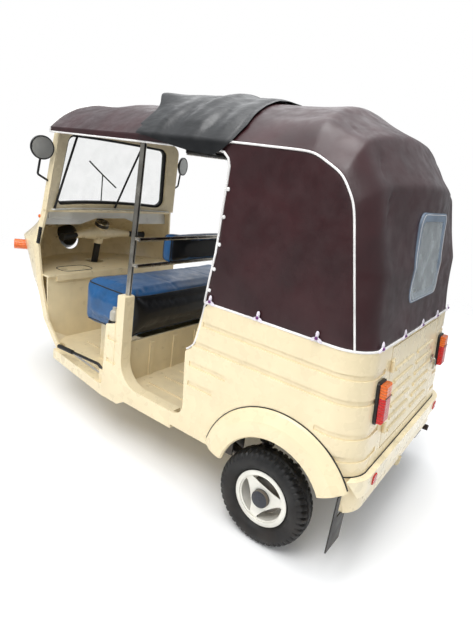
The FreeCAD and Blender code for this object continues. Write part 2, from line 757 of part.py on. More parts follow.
def seam_points():
    """Left piped seam between the hood's side panel and its back strip, as (half width, station, height)."""
    half, belt_half = S["hood_half_width"], S["body_half_width"]
    spring, belt = S["hood_spring"], S["belt_height"]
    lean = (belt_half - half) / (spring - belt)
    pivot = S["hood_pivot_height"]
    points = [(S["hood_break"], spring), (S["hood_pivot_station"], spring)]
    for angle, seam, corner_x, corner, middle, bulge in HOOD_FAN:
        turn = math.radians(angle)
        points.append((S["hood_pivot_station"] + seam * math.sin(turn), pivot + seam * math.cos(turn)))
    points.append((tub_rear(belt) - S["tub_corner"], belt + S["running_gap"]))
    return [(half + (spring - z) * lean, station, z) for station, z in points]


# Sections of the hood's back strip in planes that fan out from its pivot line: (angle back from upright, reach of
# the side seam, half width at the rounded corner, reach of that corner, reach of the middle, bulge of the corner).
HOOD_FAN = (
    (27, 409.6, 430, 512.8, 615, 26),
    (46, 472, 440, 560, 582, 14),
    (62, 456, 455, 566, 584, 22),
    (90, 456, 480, 540, 543, 34),
)


def strip_section(seam, corner, middle, bulge_point, outer_inset, inner_inset):
    """Closed wire of the back strip's cloth between two insets at one section, from its left to its right seam."""
    centre = Vector(0, min(seam.y, at(S["hood_pivot_station"])), S["hood_pivot_height"])

    def drawn_in(point, inset, sideways):
        radial = Vector(0, point.y - centre.y, point.z - centre.z).normalize()
        return point - radial * inset * (1 - sideways * 0.3) - Vector(inset * sideways, 0, 0)

    def curve(inset):
        left = Vector(seam.x - inset, seam.y, seam.z)
        side = drawn_in(bulge_point, inset, 0.6)
        turn = drawn_in(corner, inset, 0.15)
        crown = drawn_in(middle, inset, 0)
        return left, side, turn, crown

    return hood_wire(curve(outer_inset), curve(inner_inset))


def hood_wire(outer, inner):
    """Closed wire of straight chords through the left halves (seam, side, corner, crown) of two curves."""
    path = chorded(outer)
    back = chorded(inner)
    back.reverse()
    return Part.makePolygon(path + back + path[:1])


def chorded(points):
    """Points along three arcs from the left seam over the crown to the right seam."""
    seam, side, corner, crown = points
    flip = [Vector(-p.x, p.y, p.z) for p in (seam, side, corner)]
    arcs = (Part.Arc(seam, side, corner), Part.Arc(corner, crown, flip[2]), Part.Arc(flip[2], flip[1], flip[0]))
    found = [seam]
    for arc, count in zip(arcs, (3, 8, 3)):
        found.extend(arc.toShape().discretize(count + 1)[1:])
    return found


def arch_height(x):
    """Height of the roof's arched section at a distance from the middle."""
    half, spring, crest = S["hood_half_width"], S["hood_spring"], S["hood_crest"]
    rise = crest - spring
    radius = (half * half + rise * rise) / (2 * rise)
    return crest - radius + math.sqrt(radius * radius - x * x)


def hood_strip(outer_inset, inner_inset):
    """Hood cloth over the roof and down the back between the two side seams, between two insets."""
    seams = [Vector(x, at(station), z) for x, station, z in seam_points()]
    corner_x = HOOD_FAN[0][2] - 10
    side_x = (corner_x + S["hood_half_width"]) / 2
    wires = []
    for seam in seams[:2]:
        corner = Vector(corner_x, seam.y, arch_height(corner_x))
        side = Vector(side_x, seam.y, arch_height(side_x))
        crown = Vector(0, seam.y, S["hood_crest"])
        wires.append(strip_section(seam, corner, crown, side, outer_inset, inner_inset))
    centre = Vector(0, at(S["hood_pivot_station"]), S["hood_pivot_height"])
    for seam, (angle, reach, x, corner_reach, middle_reach, bulge) in zip(seams[2:], HOOD_FAN):
        turn = math.radians(angle)
        radial = Vector(0, math.sin(turn), math.cos(turn))
        corner = centre + radial * corner_reach + Vector(x, 0, 0)
        side = (seam + corner) * 0.5 + (radial + Vector(0.9, 0, 0)).normalize() * bulge
        wires.append(strip_section(seam, corner, centre + radial * middle_reach, side, outer_inset, inner_inset))
    foot = seams[-1]
    radius, rear = S["tub_corner"], at(tub_rear(S["belt_height"]))
    diagonal = radius * math.sin(math.radians(45))
    corner = Vector(S["body_half_width"] - radius, rear, foot.z)
    side = Vector(corner.x + diagonal, rear - radius + diagonal, foot.z)
    crown = Vector(0, rear + 3, foot.z)
    level = Vector(0, 1, 0)

    def foot_curve(inset):
        share = inset * math.sin(math.radians(45))
        return (
            Vector(foot.x - inset, foot.y, foot.z),
            side - Vector(share, share, 0),
            corner - level * inset,
            crown - level * inset,
        )

    wires.append(hood_wire(foot_curve(outer_inset), foot_curve(inner_inset)))
    return Part.makeLoft(wires, True, True)


def hood_side():
    """Left side panel of the hood, from the passengers' opening back to the piped seam."""
    half, belt_half, sheet = S["hood_half_width"], S["body_half_width"], S["hood_sheet"]
    gap = S["seam_gap"]
    low = S["belt_height"] + S["running_gap"] + gap
    front = at(S["hood_break"]) + gap
    outline = [(front, S["valance_low"], 0), (front, S["hood_spring"], 0)]
    outline += [(at(station), z, 0) for x, station, z in seam_points()[1:]]
    outline += [(at(S["curtain_low"]), low, 0), (at(S["curtain_high"]), S["valance_low"], 60)]
    panel = prism(outline, "yz", half - 60, belt_half + 40)
    spring = S["hood_spring"]
    leaning = prism(
        [(belt_half, low, 0), (half, spring, 0), (half - sheet, spring, 0), (belt_half - sheet, low, 0)],
        "xz",
        at(S["hood_break"]),
        at(tub_rear(low)),
    )
    side = panel.common(leaning)
    side.translate(Vector(0, -gap, -gap))
    return side


def window_prism(inset):
    """Prism through the rear window's opening, drawn in by an inset."""
    half, corner = S["window_half"] - inset, 40 - inset
    low = S["belt_height"] + S["window_rise"] + inset
    high = S["hood_crest"] - S["window_drop"] - inset
    return prism(
        [(half, low, corner), (half - 14, high, corner), (-half + 14, high, corner), (-half, low, corner)],
        "xz",
        at(2100),
        at(2400),
    )


def build_rear_hood():
    """Rear hood: two side panels sewn to one strip over the roof and down the back, with the window cut out."""
    side = hood_side()
    strip = hood_strip(0, S["hood_sheet"]).cut(window_prism(0))
    keep("rear_hood", Part.makeCompound([strip, side, mirrored(side)]))
    thin = hood_strip(2.5, 5.5)
    keep("rear_window", thin.common(window_prism(S["running_gap"])))


def build_rain_flap():
    """Rain flap thrown over the roof: an arched sheet with one side hanging."""
    thick = S["flap_thickness"]
    start, stop = S["flap_front"], S["flap_rear"]
    half = S["hood_half_width"] + S["flap_side_gap"]
    spring, crest = S["hood_spring"], S["hood_crest"] + S["flap_crest_gap"]
    low = S["flap_low"]
    y = at(start)

    def profile(extra):
        a = Vector(half + extra, y, spring)
        b = Vector(0, y, crest + extra)
        c = Vector(-half - extra, y, spring)
        return Part.Face(
            Part.Wire(
                [
                    Part.Arc(a, b, c).toShape(),
                    Part.LineSegment(c, Vector(c.x, y, low)).toShape(),
                    Part.LineSegment(Vector(c.x, y, low), Vector(a.x, y, low)).toShape(),
                    Part.LineSegment(Vector(a.x, y, low), a).toShape(),
                ]
            )
        ).extrude(Vector(0, at(stop) - y, 0))

    sheet = profile(thick).cut(profile(0))
    keep_part = box(-420, 700, y - 10, at(stop) + 10, low - 10, 1900)
    keep("rain_flap", sheet.common(keep_part))


def pole_x(height):
    """Distance from the middle to the axis of a hood pole at a height: it leans in to the roof rail."""
    foot = S["body_half_width"] - S["pole_inset"]
    share = (height - S["post_top"]) / (S["rail_height"] - S["post_top"])
    return foot + share * (pole_head() - foot)


def pole_head():
    """Distance from the middle to the roof rail above the hood poles."""
    front, rear = rail_halves()
    share = (pole_y() - RAIL_FRONT) / (RAIL_KNEE - RAIL_FRONT)
    return front + share * (rear - front)


def pole_y():
    """Station of the hood poles' axis."""
    return S["pole_station"] - 6


def rail_halves():
    """Distance from the middle to the roof rail at its front end and behind its knee."""
    inset = S["hood_sheet"] + S["rail_radius"] + 6
    return 528.0 - inset - 8, S["hood_half_width"] - inset - 4


# Stations of the roof rail's front end, its knee and its rear end.
RAIL_FRONT = 372.0
RAIL_KNEE = 1300.0
RAIL_REAR = 1880.0


def roof_bow(station, half, crest):
    """Flat steel bow across the roof frame at a station, its ends on the rails."""
    rail = S["rail_height"]
    thick, wide = S["bow_sheet"], S["bow_width"]
    y = at(station) - wide / 2
    outer = (Vector(-half, y, rail), Vector(0, y, crest), Vector(half, y, rail))
    drop = Vector(0, 0, -thick)
    inner = [point + drop for point in outer]
    wire = Part.Wire(
        [
            Part.Arc(*outer).toShape(),
            Part.LineSegment(outer[2], inner[2]).toShape(),
            Part.Arc(inner[2], inner[1], inner[0]).toShape(),
            Part.LineSegment(inner[0], outer[0]).toShape(),
        ]
    )
    return Part.Face(wire).extrude(Vector(0, wide, 0))


def build_roof_frame():
    """Frame under the hood: two tube side rails with a knee, and flat cross bows."""
    radius = S["rail_radius"]
    rail = S["rail_height"]
    front_half, rear_half = rail_halves()
    solids = []
    front_station, rear_station, knee = RAIL_FRONT, RAIL_REAR, RAIL_KNEE
    for side in (1, -1):
        solids.append(
            rod((side * front_half, at(front_station), rail), (side * rear_half, at(knee), rail), radius)
        )
        solids.append(
            rod((side * rear_half, at(knee), rail), (side * rear_half, at(rear_station), rail), radius)
        )
        solids.append(Part.makeSphere(radius, Vector(side * rear_half, at(knee), rail)))
    for station in (620.0, S["pole_station"], 1500.0, 1850.0):
        share = min(1.0, (station - front_station) / (knee - front_station))
        half = front_half + share * (rear_half - front_half)
        crest_share = min(1.0, (station - 150.0) / (S["hood_break"] - 150.0))
        cloth = S["hood_front_crest"] + crest_share * (S["hood_crest"] - 4 - S["hood_front_crest"])
        solids.append(roof_bow(station, half, cloth - S["hood_sheet"] - S["bow_gap"]))
    frame = solids[0].multiFuse(solids[1:])
    keep("roof_frame", frame.removeSplitter())
def build_poles():
    """Hood poles standing on the pillar boxes, joined by the two backrest rails."""
    rail_y = at(S["pole_station"]) + 34
    solids = []
    for side in (1, -1):
        top = S["rail_height"] - S["rail_radius"] - S["running_gap"]
        low = S["post_top"] - 20
        pole = rod((side * pole_x(low), at(pole_y()), low), (side * pole_x(top), at(pole_y()), top + 20), S["pole_radius"])
        pole = pole.common(box(-700, 700, -500, 500, S["post_top"] + S["running_gap"], top))
        solids.append(pole)
    for height in (S["backrest_low"] + 21, S["backrest_high"] - 21):
        reach = pole_x(height)
        solids.append(rod((-reach - 6, rail_y, height), (reach + 6, rail_y, height), BACK_RAIL))
        for side in (1, -1):
            solids.append(rod((side * reach, rail_y, height), (side * reach, at(pole_y()), height), BACK_RAIL - 1))
    keep("pole_frame", solids[0].multiFuse(solids[1:]))


# Radius of the backrest rails.
BACK_RAIL = 9


# Seats


def build_seats():
    """Driver's bench and backrest, passenger bench, and the panels that carry them."""
    gap = S["running_gap"]
    half = S["seat_half_width"]
    cushion = DOCUMENT.addObject("Part::Box", "driver_bench_block")
    cushion.setExpression("Length", "Sizes.seat_half_width * 2")
    cushion.setExpression("Width", "Sizes.seat_rear - Sizes.seat_front")
    cushion.setExpression("Height", "Sizes.seat_top - Sizes.seat_bottom")
    cushion.Placement = Placement(Vector(-half, at(S["seat_front"]), S["seat_bottom"]), Rotation())
    DOCUMENT.recompute()
    rounded = DOCUMENT.addObject("Part::Fillet", "driver_bench")
    rounded.Base = cushion
    rounded.Edges = [(i + 1, 26.0, 26.0) for i in range(12)]
    wall = 12
    base_half = S["body_half_width"] - S["frame_depth"] - gap
    partition = box(
        -base_half, base_half, at(S["partition_station"]) - wall, at(S["partition_station"]),
        S["floor_top"], S["seat_bottom"] - gap,
    )
    for x in (-360, -180, 0, 180, 360):
        partition = partition.fuse(
            box(x - 14, x + 14, at(S["partition_station"]) - 1, at(S["partition_station"]) + 7,
                S["floor_top"], S["seat_bottom"] - 30)
        )
    front_wall = box(
        -430, 430, at(S["seat_front"] + 60), at(S["seat_front"] + 60) + wall, S["floor_top"],
        S["seat_bottom"] - gap,
    )
    sides = [
        box(x - 6, x + 6, at(S["seat_front"] + 60) + wall - 1, at(S["partition_station"]) - wall + 1,
            S["floor_top"], S["seat_bottom"] - gap)
        for x in (-424, 424)
    ]
    driver_base = partition.multiFuse([front_wall] + sides).removeSplitter()
    pad = DOCUMENT.addObject("Part::Box", "driver_backrest_block")
    pad.setExpression("Length", "Sizes.backrest_half_width * 2")
    pad.setExpression("Width", "Sizes.backrest_depth")
    pad.setExpression("Height", "Sizes.backrest_high - Sizes.backrest_low")
    rail_y = at(S["pole_station"]) + 34
    pad.Placement = Placement(
        Vector(-S["backrest_half_width"], rail_y - BACK_RAIL - gap - S["backrest_depth"], S["backrest_low"]),
        Rotation(),
    )
    DOCUMENT.recompute()
    soft = DOCUMENT.addObject("Part::Fillet", "driver_backrest")
    soft.Base = pad
    soft.Edges = [(i + 1, 24.0, 24.0) for i in range(12)]
    bench_half = S["body_half_width"] - S["panel_wall"] - 46
    bench = box(
        -bench_half, bench_half, at(S["bench_front"]), at(S["bench_rear"] - 90),
        S["bench_top"] - S["bench_cushion"], S["bench_top"],
    )
    passenger_cushion = DOCUMENT.addObject("Part::Feature", "passenger_bench")
    passenger_cushion.Shape = bench.makeFillet(28, bench.Edges)
    pair = DOCUMENT.addObject("Part::Compound", "seat_cushions")
    pair.Links = [rounded, passenger_cushion]
    name_node("seat_cushions", pair)
    back = box(
        -bench_half, bench_half, at(S["bench_rear"] - 88), at(S["bench_rear"]),
        S["bench_top"] - 60, S["bench_back_top"],
    )
    passenger_back = DOCUMENT.addObject("Part::Feature", "passenger_backrest")
    passenger_back.Shape = back.makeFillet(26, back.Edges)
    pair = DOCUMENT.addObject("Part::Compound", "backrests")
    pair.Links = [soft, passenger_back]
    name_node("backrests", pair)
    riser = box(
        -bench_half, bench_half, at(S["bench_front"] + 30), at(S["bench_front"] + 42),
        S["floor_top"], S["bench_top"] - S["bench_cushion"] - gap,
    )
    deck = box(
        -bench_half, bench_half, at(S["bench_front"] + 42), at(S["bench_rear"]),
        S["bench_top"] - S["bench_cushion"] - gap - 12, S["bench_top"] - S["bench_cushion"] - gap,
    )
    firewall = box(
        -bench_half, bench_half, at(S["bench_rear"]) + gap, at(S["bench_rear"]) + 12,
        S["bench_top"] - S["bench_cushion"] - gap - 12, S["belt_height"] + 60,
    )
    link = box(
        -bench_half, bench_half, at(S["bench_rear"]) - 2, at(S["bench_rear"]) + 12,
        S["bench_top"] - S["bench_cushion"] - gap - 12, S["bench_top"] - S["bench_cushion"] - gap,
    )
    bench_base = riser.multiFuse([deck, firewall, link]).removeSplitter()
    keep("seat_bases", Part.makeCompound([driver_base, bench_base]))


# Steering


def steering_axis():
    """Unit direction of the steering axis, pointing up."""
    tilt = math.radians(S["steer_tilt_deg"])
    return Vector(0, math.sin(tilt), math.cos(tilt))


def steering_line(height):
    """Point of the steering axis at a height."""
    axis = steering_axis()
    foot = Vector(0, at(-S["steer_trail"]), S["steer_foot_height"])
    return foot + axis * ((height - foot.z) / axis.z)


def tuple_of(vector):
    """A vector as three plain numbers."""
    return (vector.x, vector.y, vector.z)


def damper(foot, head, core_radius, seat_radius, seat_height):
    """Spring damper between two points: a round core with a spring seat near each end."""
    unit = (head - foot).normalize()
    length = (head - foot).Length
    core = Part.makeCylinder(core_radius, length, foot, unit)
    low_seat = Part.makeCylinder(seat_radius, seat_height, foot + unit * length * 0.12, unit)
    high_seat = Part.makeCylinder(seat_radius, seat_height, foot + unit * length * 0.86, unit)
    return core.multiFuse([low_seat, high_seat])


def build_steering():
    """Column, one sided fork leg with its link and damper, front mudguard and handlebar."""
    gap = S["running_gap"]
    axis = steering_axis()
    crown_top = S["head_low"] - S["crown_drop"]
    crown_low = crown_top - S["crown_height"]
    knee = steering_line(crown_top - S["crown_height"] / 2)
    column_high = steering_line(S["bar_height"] - 20)
    side_x = -(S["guard_half_width"] + 34)
    column = rod(tuple_of(knee), tuple_of(column_high), S["column_radius"])
    crown = Part.makeBox(
        abs(side_x) + S["column_radius"] + 30, 112, S["crown_height"], Vector(side_x - 28, knee.y - 30, crown_low)
    )
    leg = rod((side_x, knee.y - 8, knee.z), (side_x, at(-70), AXLE_HEIGHT + 20), 20)
    eye = rod((side_x - 22, at(-70), AXLE_HEIGHT + 20), (side_x + 22, at(-70), AXLE_HEIGHT + 20), 24)
    fork = column.multiFuse([crown, leg, eye])
    arm = prism(
        [
            (at(-98), AXLE_HEIGHT - 8, 14),
            (at(28), AXLE_HEIGHT - 26, 18),
            (at(28), AXLE_HEIGHT + 26, 18),
            (at(-98), AXLE_HEIGHT + 44, 14),
        ],
        "yz",
        side_x + 20,
        side_x + 34,
    )
    axle = rod((side_x + 30, at(0), AXLE_HEIGHT), (58, at(0), AXLE_HEIGHT), S["axle_radius"])
    damper_low = Vector(side_x + 6, at(8), AXLE_HEIGHT + 36)
    keep("fork", fork.multiFuse([arm, axle]))
    damper_high = Vector(side_x, knee.y + 54, knee.z)
    spring = damper(damper_low, damper_high, 19, 27, 6)
    under_crown = box(-300, 300, -2000, 0, 0, crown_low - gap)
    keep("front_damper", spring.common(under_crown))
    centre = Vector(0, at(0), AXLE_HEIGHT)
    radius, half = S["guard_radius"], S["guard_half_width"]
    wall = S["guard_wall"]
    profile = [
        Vector(-half, at(0), centre.z + radius - 44),
        Vector(-half + 10, at(0), centre.z + radius - 14),
        Vector(-half + 34, at(0), centre.z + radius),
        Vector(half - 34, at(0), centre.z + radius),
        Vector(half - 10, at(0), centre.z + radius - 14),
        Vector(half, at(0), centre.z + radius - 44),
        Vector(half - wall, at(0), centre.z + radius - 44),
        Vector(half - 10 - wall, at(0), centre.z + radius - 17),
        Vector(half - 36, at(0), centre.z + radius - wall),
        Vector(-half + 36, at(0), centre.z + radius - wall),
        Vector(-half + 10 + wall, at(0), centre.z + radius - 17),
        Vector(-half + wall, at(0), centre.z + radius - 44),
    ]
    face = Part.Face(Part.makePolygon(profile + [profile[0]]))
    guard = face.revolve(centre, Vector(1, 0, 0), 70).fuse(face.revolve(centre, Vector(1, 0, 0), -78))
    lug = box(-26, 26, knee.y - 22, knee.y + 22, centre.z + radius - wall - 1, crown_low - gap)
    keep("front_mudguard", guard.removeSplitter().fuse(lug.cut(guard)))
    build_handlebar(axis)


def bar_ends(side):
    """Root and tip of one grip's axis."""
    middle = steering_line(S["bar_height"])
    sweep, half = S["bar_sweep"], S["bar_half"]
    root = Vector(side * (half - S["grip_length"] - 14), middle.y + sweep * 0.62, middle.z - 6)
    return root, Vector(side * half, middle.y + sweep, middle.z - 10)


def bar_cover(extra):
    """Handlebar cover, grown by an extra: a loft through rings on a line that sweeps back from grip to grip.

    A ring's radius falls with the cosine of its way out, from the middle's to a little more than the grip's.
    """
    middle = steering_line(S["bar_height"])
    root, tip = bar_ends(1)
    reach, way = root - middle, tip - root
    end = S["grip_radius"] + 3
    bulge = S["cover_radius"] - end
    rings = []
    for step in range(-6, 7):
        share = step / 6
        radius = end + bulge * (0.5 + 0.5 * math.cos(math.pi * share)) + extra
        centre = middle + Vector(share * reach.x, share ** 2 * reach.y, share ** 2 * reach.z)
        along = Vector(way.x, share * way.y, share * way.z).normalize()
        across = Vector(0, 0, 1).cross(along).normalize() * radius
        up = along.cross(across)
        ends = (centre + up, centre - up)
        edges = [Part.Arc(ends[0], centre + across, ends[1]), Part.Arc(ends[1], centre - across, ends[0])]
        rings.append(Part.Wire([edge.toShape() for edge in edges]))
    return Part.makeLoft(rings, True, True)


def build_handlebar(axis):
    """Handlebar cover, rubber grips, levers and the round instrument on top."""
    gap = S["running_gap"]
    middle = steering_line(S["bar_height"])
    stem = rod(tuple_of(steering_line(S["bar_height"] - 70)), tuple_of(steering_line(S["bar_height"] - 30)), 32)
    column_end = steering_line(S["bar_height"] - 20)
    socket = Part.makeCylinder(S["column_radius"] + gap, 60, column_end - axis * 60, axis)
    lean = Vector(0, 0.42, 1).normalize()
    dial_foot = middle + lean * 54
    boss = Part.makeCone(30, 46, 24, dial_foot - lean * 24, lean)
    cover = bar_cover(0).multiFuse([stem, boss]).cut(socket)
    keep("handlebar_cover", cover)
    keep("instrument", Part.makeCylinder(47, 28, dial_foot, lean))
    grips = []
    levers = []
    for side in (1, -1):
        root, tip = bar_ends(side)
        way = (tip - root).normalize()
        start = root + way * (0.5 + gap)
        grip = Part.makeCylinder(S["grip_radius"], S["grip_length"] + 8, start, way)
        flange = Part.makeCylinder(S["grip_radius"] + 5, 7, start + way * (S["grip_length"] + 2), way)
        grips.append(grip.fuse(flange))
        lever_start = root + Vector(-side * 26, -38, -4)
        lever_end = tip + Vector(-side * 6, -54, -10)
        blade = rod(tuple_of(lever_start), tuple_of(lever_end), 5)
        perch = rod(tuple_of(lever_start), tuple_of(root + Vector(-side * 26, -10, -3)), 7)
        levers.append(blade.fuse(perch).cut(bar_cover(gap)))
    keep("grips", Part.makeCompound(grips))
    keep("control_levers", Part.makeCompound(levers))


# Wheels and running gear


def wheel_shapes(centre_x, y):
    """Tyre, rim and hub of one wheel, turned about the X axis, at that place."""
    gap = S["running_gap"]
    radius, half = S["wheel_radius"], S["tyre_width"] / 2
    rim, rim_half = S["rim_radius"], S["rim_width"] / 2
    centre = Vector(centre_x, y, AXLE_HEIGHT)

    def turned(points):
        vectors = [Vector(centre_x + a, y, AXLE_HEIGHT + r) for a, r in points]
        face = Part.Face(Part.makePolygon(vectors + [vectors[0]]))
        return face.revolve(centre, Vector(1, 0, 0), 360)

    bead = rim - 12
    tyre = turned(
        [
            (-rim_half + 7, bead + gap),
            (-rim_half + 7, rim + 6),
            (-half + 8, rim + 18),
            (-half, rim + 44),
            (-half + 3, radius - 20),
            (-half + 13, radius - 6),
            (-half + 28, radius),
            (half - 28, radius),
            (half - 13, radius - 6),
            (half - 3, radius - 20),
            (half, rim + 44),
            (half - 8, rim + 18),
            (rim_half - 7, rim + 6),
            (rim_half - 7, bead + gap),
        ]
    )
    return centre, turned, tyre, bead, rim_half


def build_wheel(tag, centre_x, y, outward):
    """One wheel: tyre, dished rim with three windows, and brake drum hub."""
    centre, turned, tyre, bead, rim_half = wheel_shapes(centre_x, y)
    gap = S["running_gap"]
    keep("tyre_" + tag, tyre)
    rim = S["rim_radius"]
    hub = S["hub_radius"]
    o = outward
    face_at = 26
    barrel = turned(
        [
            (-rim_half, rim),
            (-rim_half, bead - 6),
            (rim_half, bead - 6),
            (rim_half, rim),
            (rim_half - 6, rim),
            (rim_half - 6.6, bead),
            (-rim_half + 6.6, bead),
            (-rim_half + 6, rim),
        ]
    )
    disc = turned(
        [
            (o * face_at, hub - 4),
            (o * (face_at - 8), hub - 4),
            (o * (face_at - 2), bead - 5),
            (o * (face_at + 6), bead - 5),
        ]
    )
    for i in range(3):
        window = prism(
            [
                (y - 32, centre.z + 62, 10),
                (y + 32, centre.z + 62, 10),
                (y + 40, centre.z + 92, 14),
                (y - 40, centre.z + 92, 14),
            ],
            "yz",
            centre.x - 80,
            centre.x + 80,
        )
        window.rotate(centre, Vector(1, 0, 0), 120.0 * i + 18)
        disc = disc.cut(window)
    bore = S["axle_radius"] + gap
    drum = turned(
        [
            (o * -34, bore),
            (o * -34, 74),
            (o * 6, 74),
            (o * 14, hub),
            (o * 40, hub),
            (o * 46, hub - 8),
            (o * 46, bore),
        ]
    )
    keep("wheel_" + tag, barrel.multiFuse([disc, drum]).removeSplitter())


# Half length of a trailing arm's pivot eye.
EYE_HALF = 40


def build_running_gear():
    """Rear trailing arms with stub axles, spring dampers, drive shafts, engine block and exhaust."""
    half_track = S["rear_track"] / 2
    arm_x = half_track - S["arm_inset"]
    pivot_y, pivot_z = at(ARM_PIVOT), S["arm_pivot_height"]
    arms, dampers, shafts = [], [], []
    for side in (1, -1):
        beam = rod((side * arm_x, pivot_y, pivot_z), (side * arm_x, REAR_AXLE, AXLE_HEIGHT), 22)
        eye = rod(
            (side * (arm_x - EYE_HALF), pivot_y, pivot_z), (side * (arm_x + EYE_HALF), pivot_y, pivot_z), 26
        )
        carrier = rod((side * (arm_x - 30), REAR_AXLE, AXLE_HEIGHT), (side * (half_track - 38), REAR_AXLE, AXLE_HEIGHT), 40)
        stub = rod(
            (side * (half_track - 40), REAR_AXLE, AXLE_HEIGHT), (side * (half_track + 45), REAR_AXLE, AXLE_HEIGHT), S["axle_radius"]
        )
        seat_top = AXLE_HEIGHT + 58
        x0, x1 = sorted((side * (arm_x - 26), side * (arm_x + 18)))
        seat = box(x0, x1, at(S["wheelbase"] - 96), at(S["wheelbase"] - 52), AXLE_HEIGHT + 20, seat_top)
        arms.append(beam.multiFuse([eye, carrier, stub, seat]))
        foot = Vector(side * (arm_x - 4), at(S["wheelbase"] - 74), seat_top - 10)
        head = Vector(side * (arm_x - 30), at(S["wheelbase"] - 96), 540)
        deck_low = S["bench_top"] - S["bench_cushion"] - S["running_gap"] - 12
        between = box(-700, 700, 0, 2000, seat_top + S["running_gap"], deck_low - S["running_gap"])
        dampers.append(damper(foot, head, 21, 32, 7).common(between))
        shaft = rod(
            (side * (S["engine_width"] / 2 - 20), REAR_AXLE, AXLE_HEIGHT), (side * (arm_x - 30.3), REAR_AXLE, AXLE_HEIGHT), 13
        )
        boot = rod(
            (side * (arm_x - 90), REAR_AXLE, AXLE_HEIGHT), (side * (arm_x - 30.3), REAR_AXLE, AXLE_HEIGHT), 30
        )
        shafts += [shaft, boot]
    engine_start = REAR_AXLE - S["engine_lead"]
    engine = box(
        -S["engine_width"] / 2, S["engine_width"] / 2, engine_start, engine_start + S["engine_length"],
        S["engine_low"], S["engine_low"] + S["engine_height"],
    )
    keep("trailing_arms", Part.makeCompound(arms))
    keep("rear_dampers", Part.makeCompound(dampers))
    keep("engine_block", engine.makeChamfer(18, engine.Edges).multiFuse(shafts))
    pipe_r = S["exhaust_radius"]
    tip_x, tip_z = -505.0, 212.0
    engine_face = engine_start + S["engine_length"] + S["running_gap"]
    muffler_y, muffler_z = engine_face + 59.7, 222.0
    silencer = rod((-80, muffler_y, muffler_z), (-430, muffler_y, muffler_z), 48)
    header = rod((-108, engine_face, muffler_z), (-108, muffler_y, muffler_z), 18)
    outlet = (tip_x, S["overall_length"] / 2 - 1, tip_z)
    tail = pipe([(-300, muffler_y, muffler_z), (tip_x, muffler_y, tip_z), outlet], pipe_r, 40)
    keep("exhaust", silencer.multiFuse([header, tail]))


def build_chassis():
    """Central spine, cross members and steering head under the floor."""
    under = S["floor_top"] - S["floor_sheet"]
    half = S["spine_half_width"]
    cross_start, cross_stop = at(ARM_PIVOT + 50), at(ARM_PIVOT + 90)
    spine = box(-half, half, at(S["shield_station"] + 8), cross_stop - 2, under - S["spine_height"], under)
    cross_front = box(-480, 480, at(S["stub_front"] + 57), at(S["stub_front"] + 107), under - 50, under)
    arm_x = S["rear_track"] / 2 - S["arm_inset"]
    cross_half = arm_x + EYE_HALF + 9
    cross_rear = box(-cross_half, cross_half, cross_start, cross_stop, under + 12, under + 42)
    post = box(-half, half, cross_start, cross_stop, under - 20, under + 20)
    lugs = []
    for side in (1, -1):
        for way in (-1, 1):
            x = side * arm_x + way * (EYE_HALF + S["running_gap"] + 4)
            lug_low = S["arm_pivot_height"] - 36
            lugs.append(box(x - 4, x + 4, at(ARM_PIVOT - 31.5), cross_stop, lug_low, under + 42))
    bars = spine.multiFuse([cross_front, cross_rear, post] + lugs)
    low, high = steering_line(S["head_low"]), steering_line(SHELF_TOP - S["shelf_sheet"] - 14)
    tube = rod(tuple_of(low), tuple_of(high), S["head_radius"])
    bore = rod(tuple_of(steering_line(S["head_low"] - 20)), tuple_of(steering_line(SHELF_TOP + 40)),
               S["column_radius"] + S["running_gap"])
    brace = prism(
        [
            (low.y + 10, 560, 0),
            (at(S["shield_station"]) - 8, 500, 0),
            (at(S["shield_station"]) - 8, 640, 0),
            (low.y + 30, 640, 0),
        ],
        "yz",
        -30,
        30,
    )
    keep("chassis_frame", Part.makeCompound([bars.removeSplitter(), tube.fuse(brace).cut(bore)]))


# Rear door, bumper, lamps and small pieces


def door_tilt():
    """Rake of the rear face in radians."""
    return math.atan2(S["tub_rear_low"] - S["tub_rear_high"], S["belt_height"] - S["tub_bottom"])


def build_engine_door():
    """Louvred engine door, flush with the raked rear face, hinged at its left edge."""
    wall = S["panel_wall"]
    low, high = S["tub_bottom"], S["belt_height"]
    slab = tub_body(0, low, high, 1400).cut(tub_body(wall, low - 1, high + 1, 1390))
    half = S["door_half_width"]
    door = slab.common(box(-half, half, at(2000), at(2400), S["door_low"], DOOR_TOP))
    tilt = door_tilt()
    rows = int(S["louvre_rows"])
    lowest = S["door_low"] + S["louvre_rise"]
    pitch = (DOOR_TOP - S["louvre_drop"] - lowest) / (rows - 1)
    for column in (-1, 1):
        for row in range(rows):
            z = lowest + row * pitch
            x = column * S["louvre_column"]
            face = at(tub_rear(z))
            ridge = Part.makeCylinder(
                S["louvre_height"] / 2, S["louvre_length"], Vector(x - S["louvre_length"] / 2, face, z), Vector(1, 0, 0)
            )
            door = door.fuse(ridge)
    barrels = []
    for z in (S["door_low"] + S["hinge_rise"], DOOR_TOP - S["hinge_drop"]):
        face = at(tub_rear(z))
        pin = Part.makeCylinder(7, 44, Vector(half + 8, face + 10, z))
        strap = box(half - 34, half + 8, face + S["running_gap"], face + 6, z, z + 44)
        pad = box(half - 34, half - 2, face - 3, face + 6, z, z + 44)
        leaf = pin.multiFuse([strap, pad])
        leaf.rotate(Vector(0, face, z), Vector(1, 0, 0), math.degrees(tilt))
        barrels.append(leaf)
    keep("engine_door", door.multiFuse(barrels).removeSplitter())


def bumper_plan(inset):
    """Plan outline of the bumper's outer face, drawn in by an inset."""
    half = S["body_half_width"] + 24 - inset
    rear = at(S["overall_length"] - S["front_overhang"]) - inset
    radius = S["tub_corner"] + 10 - inset
    front = at(S["bumper_side_station"])
    return [(half, front, 0), (half, rear, radius), (-half, rear, radius), (-half, front, 0)]


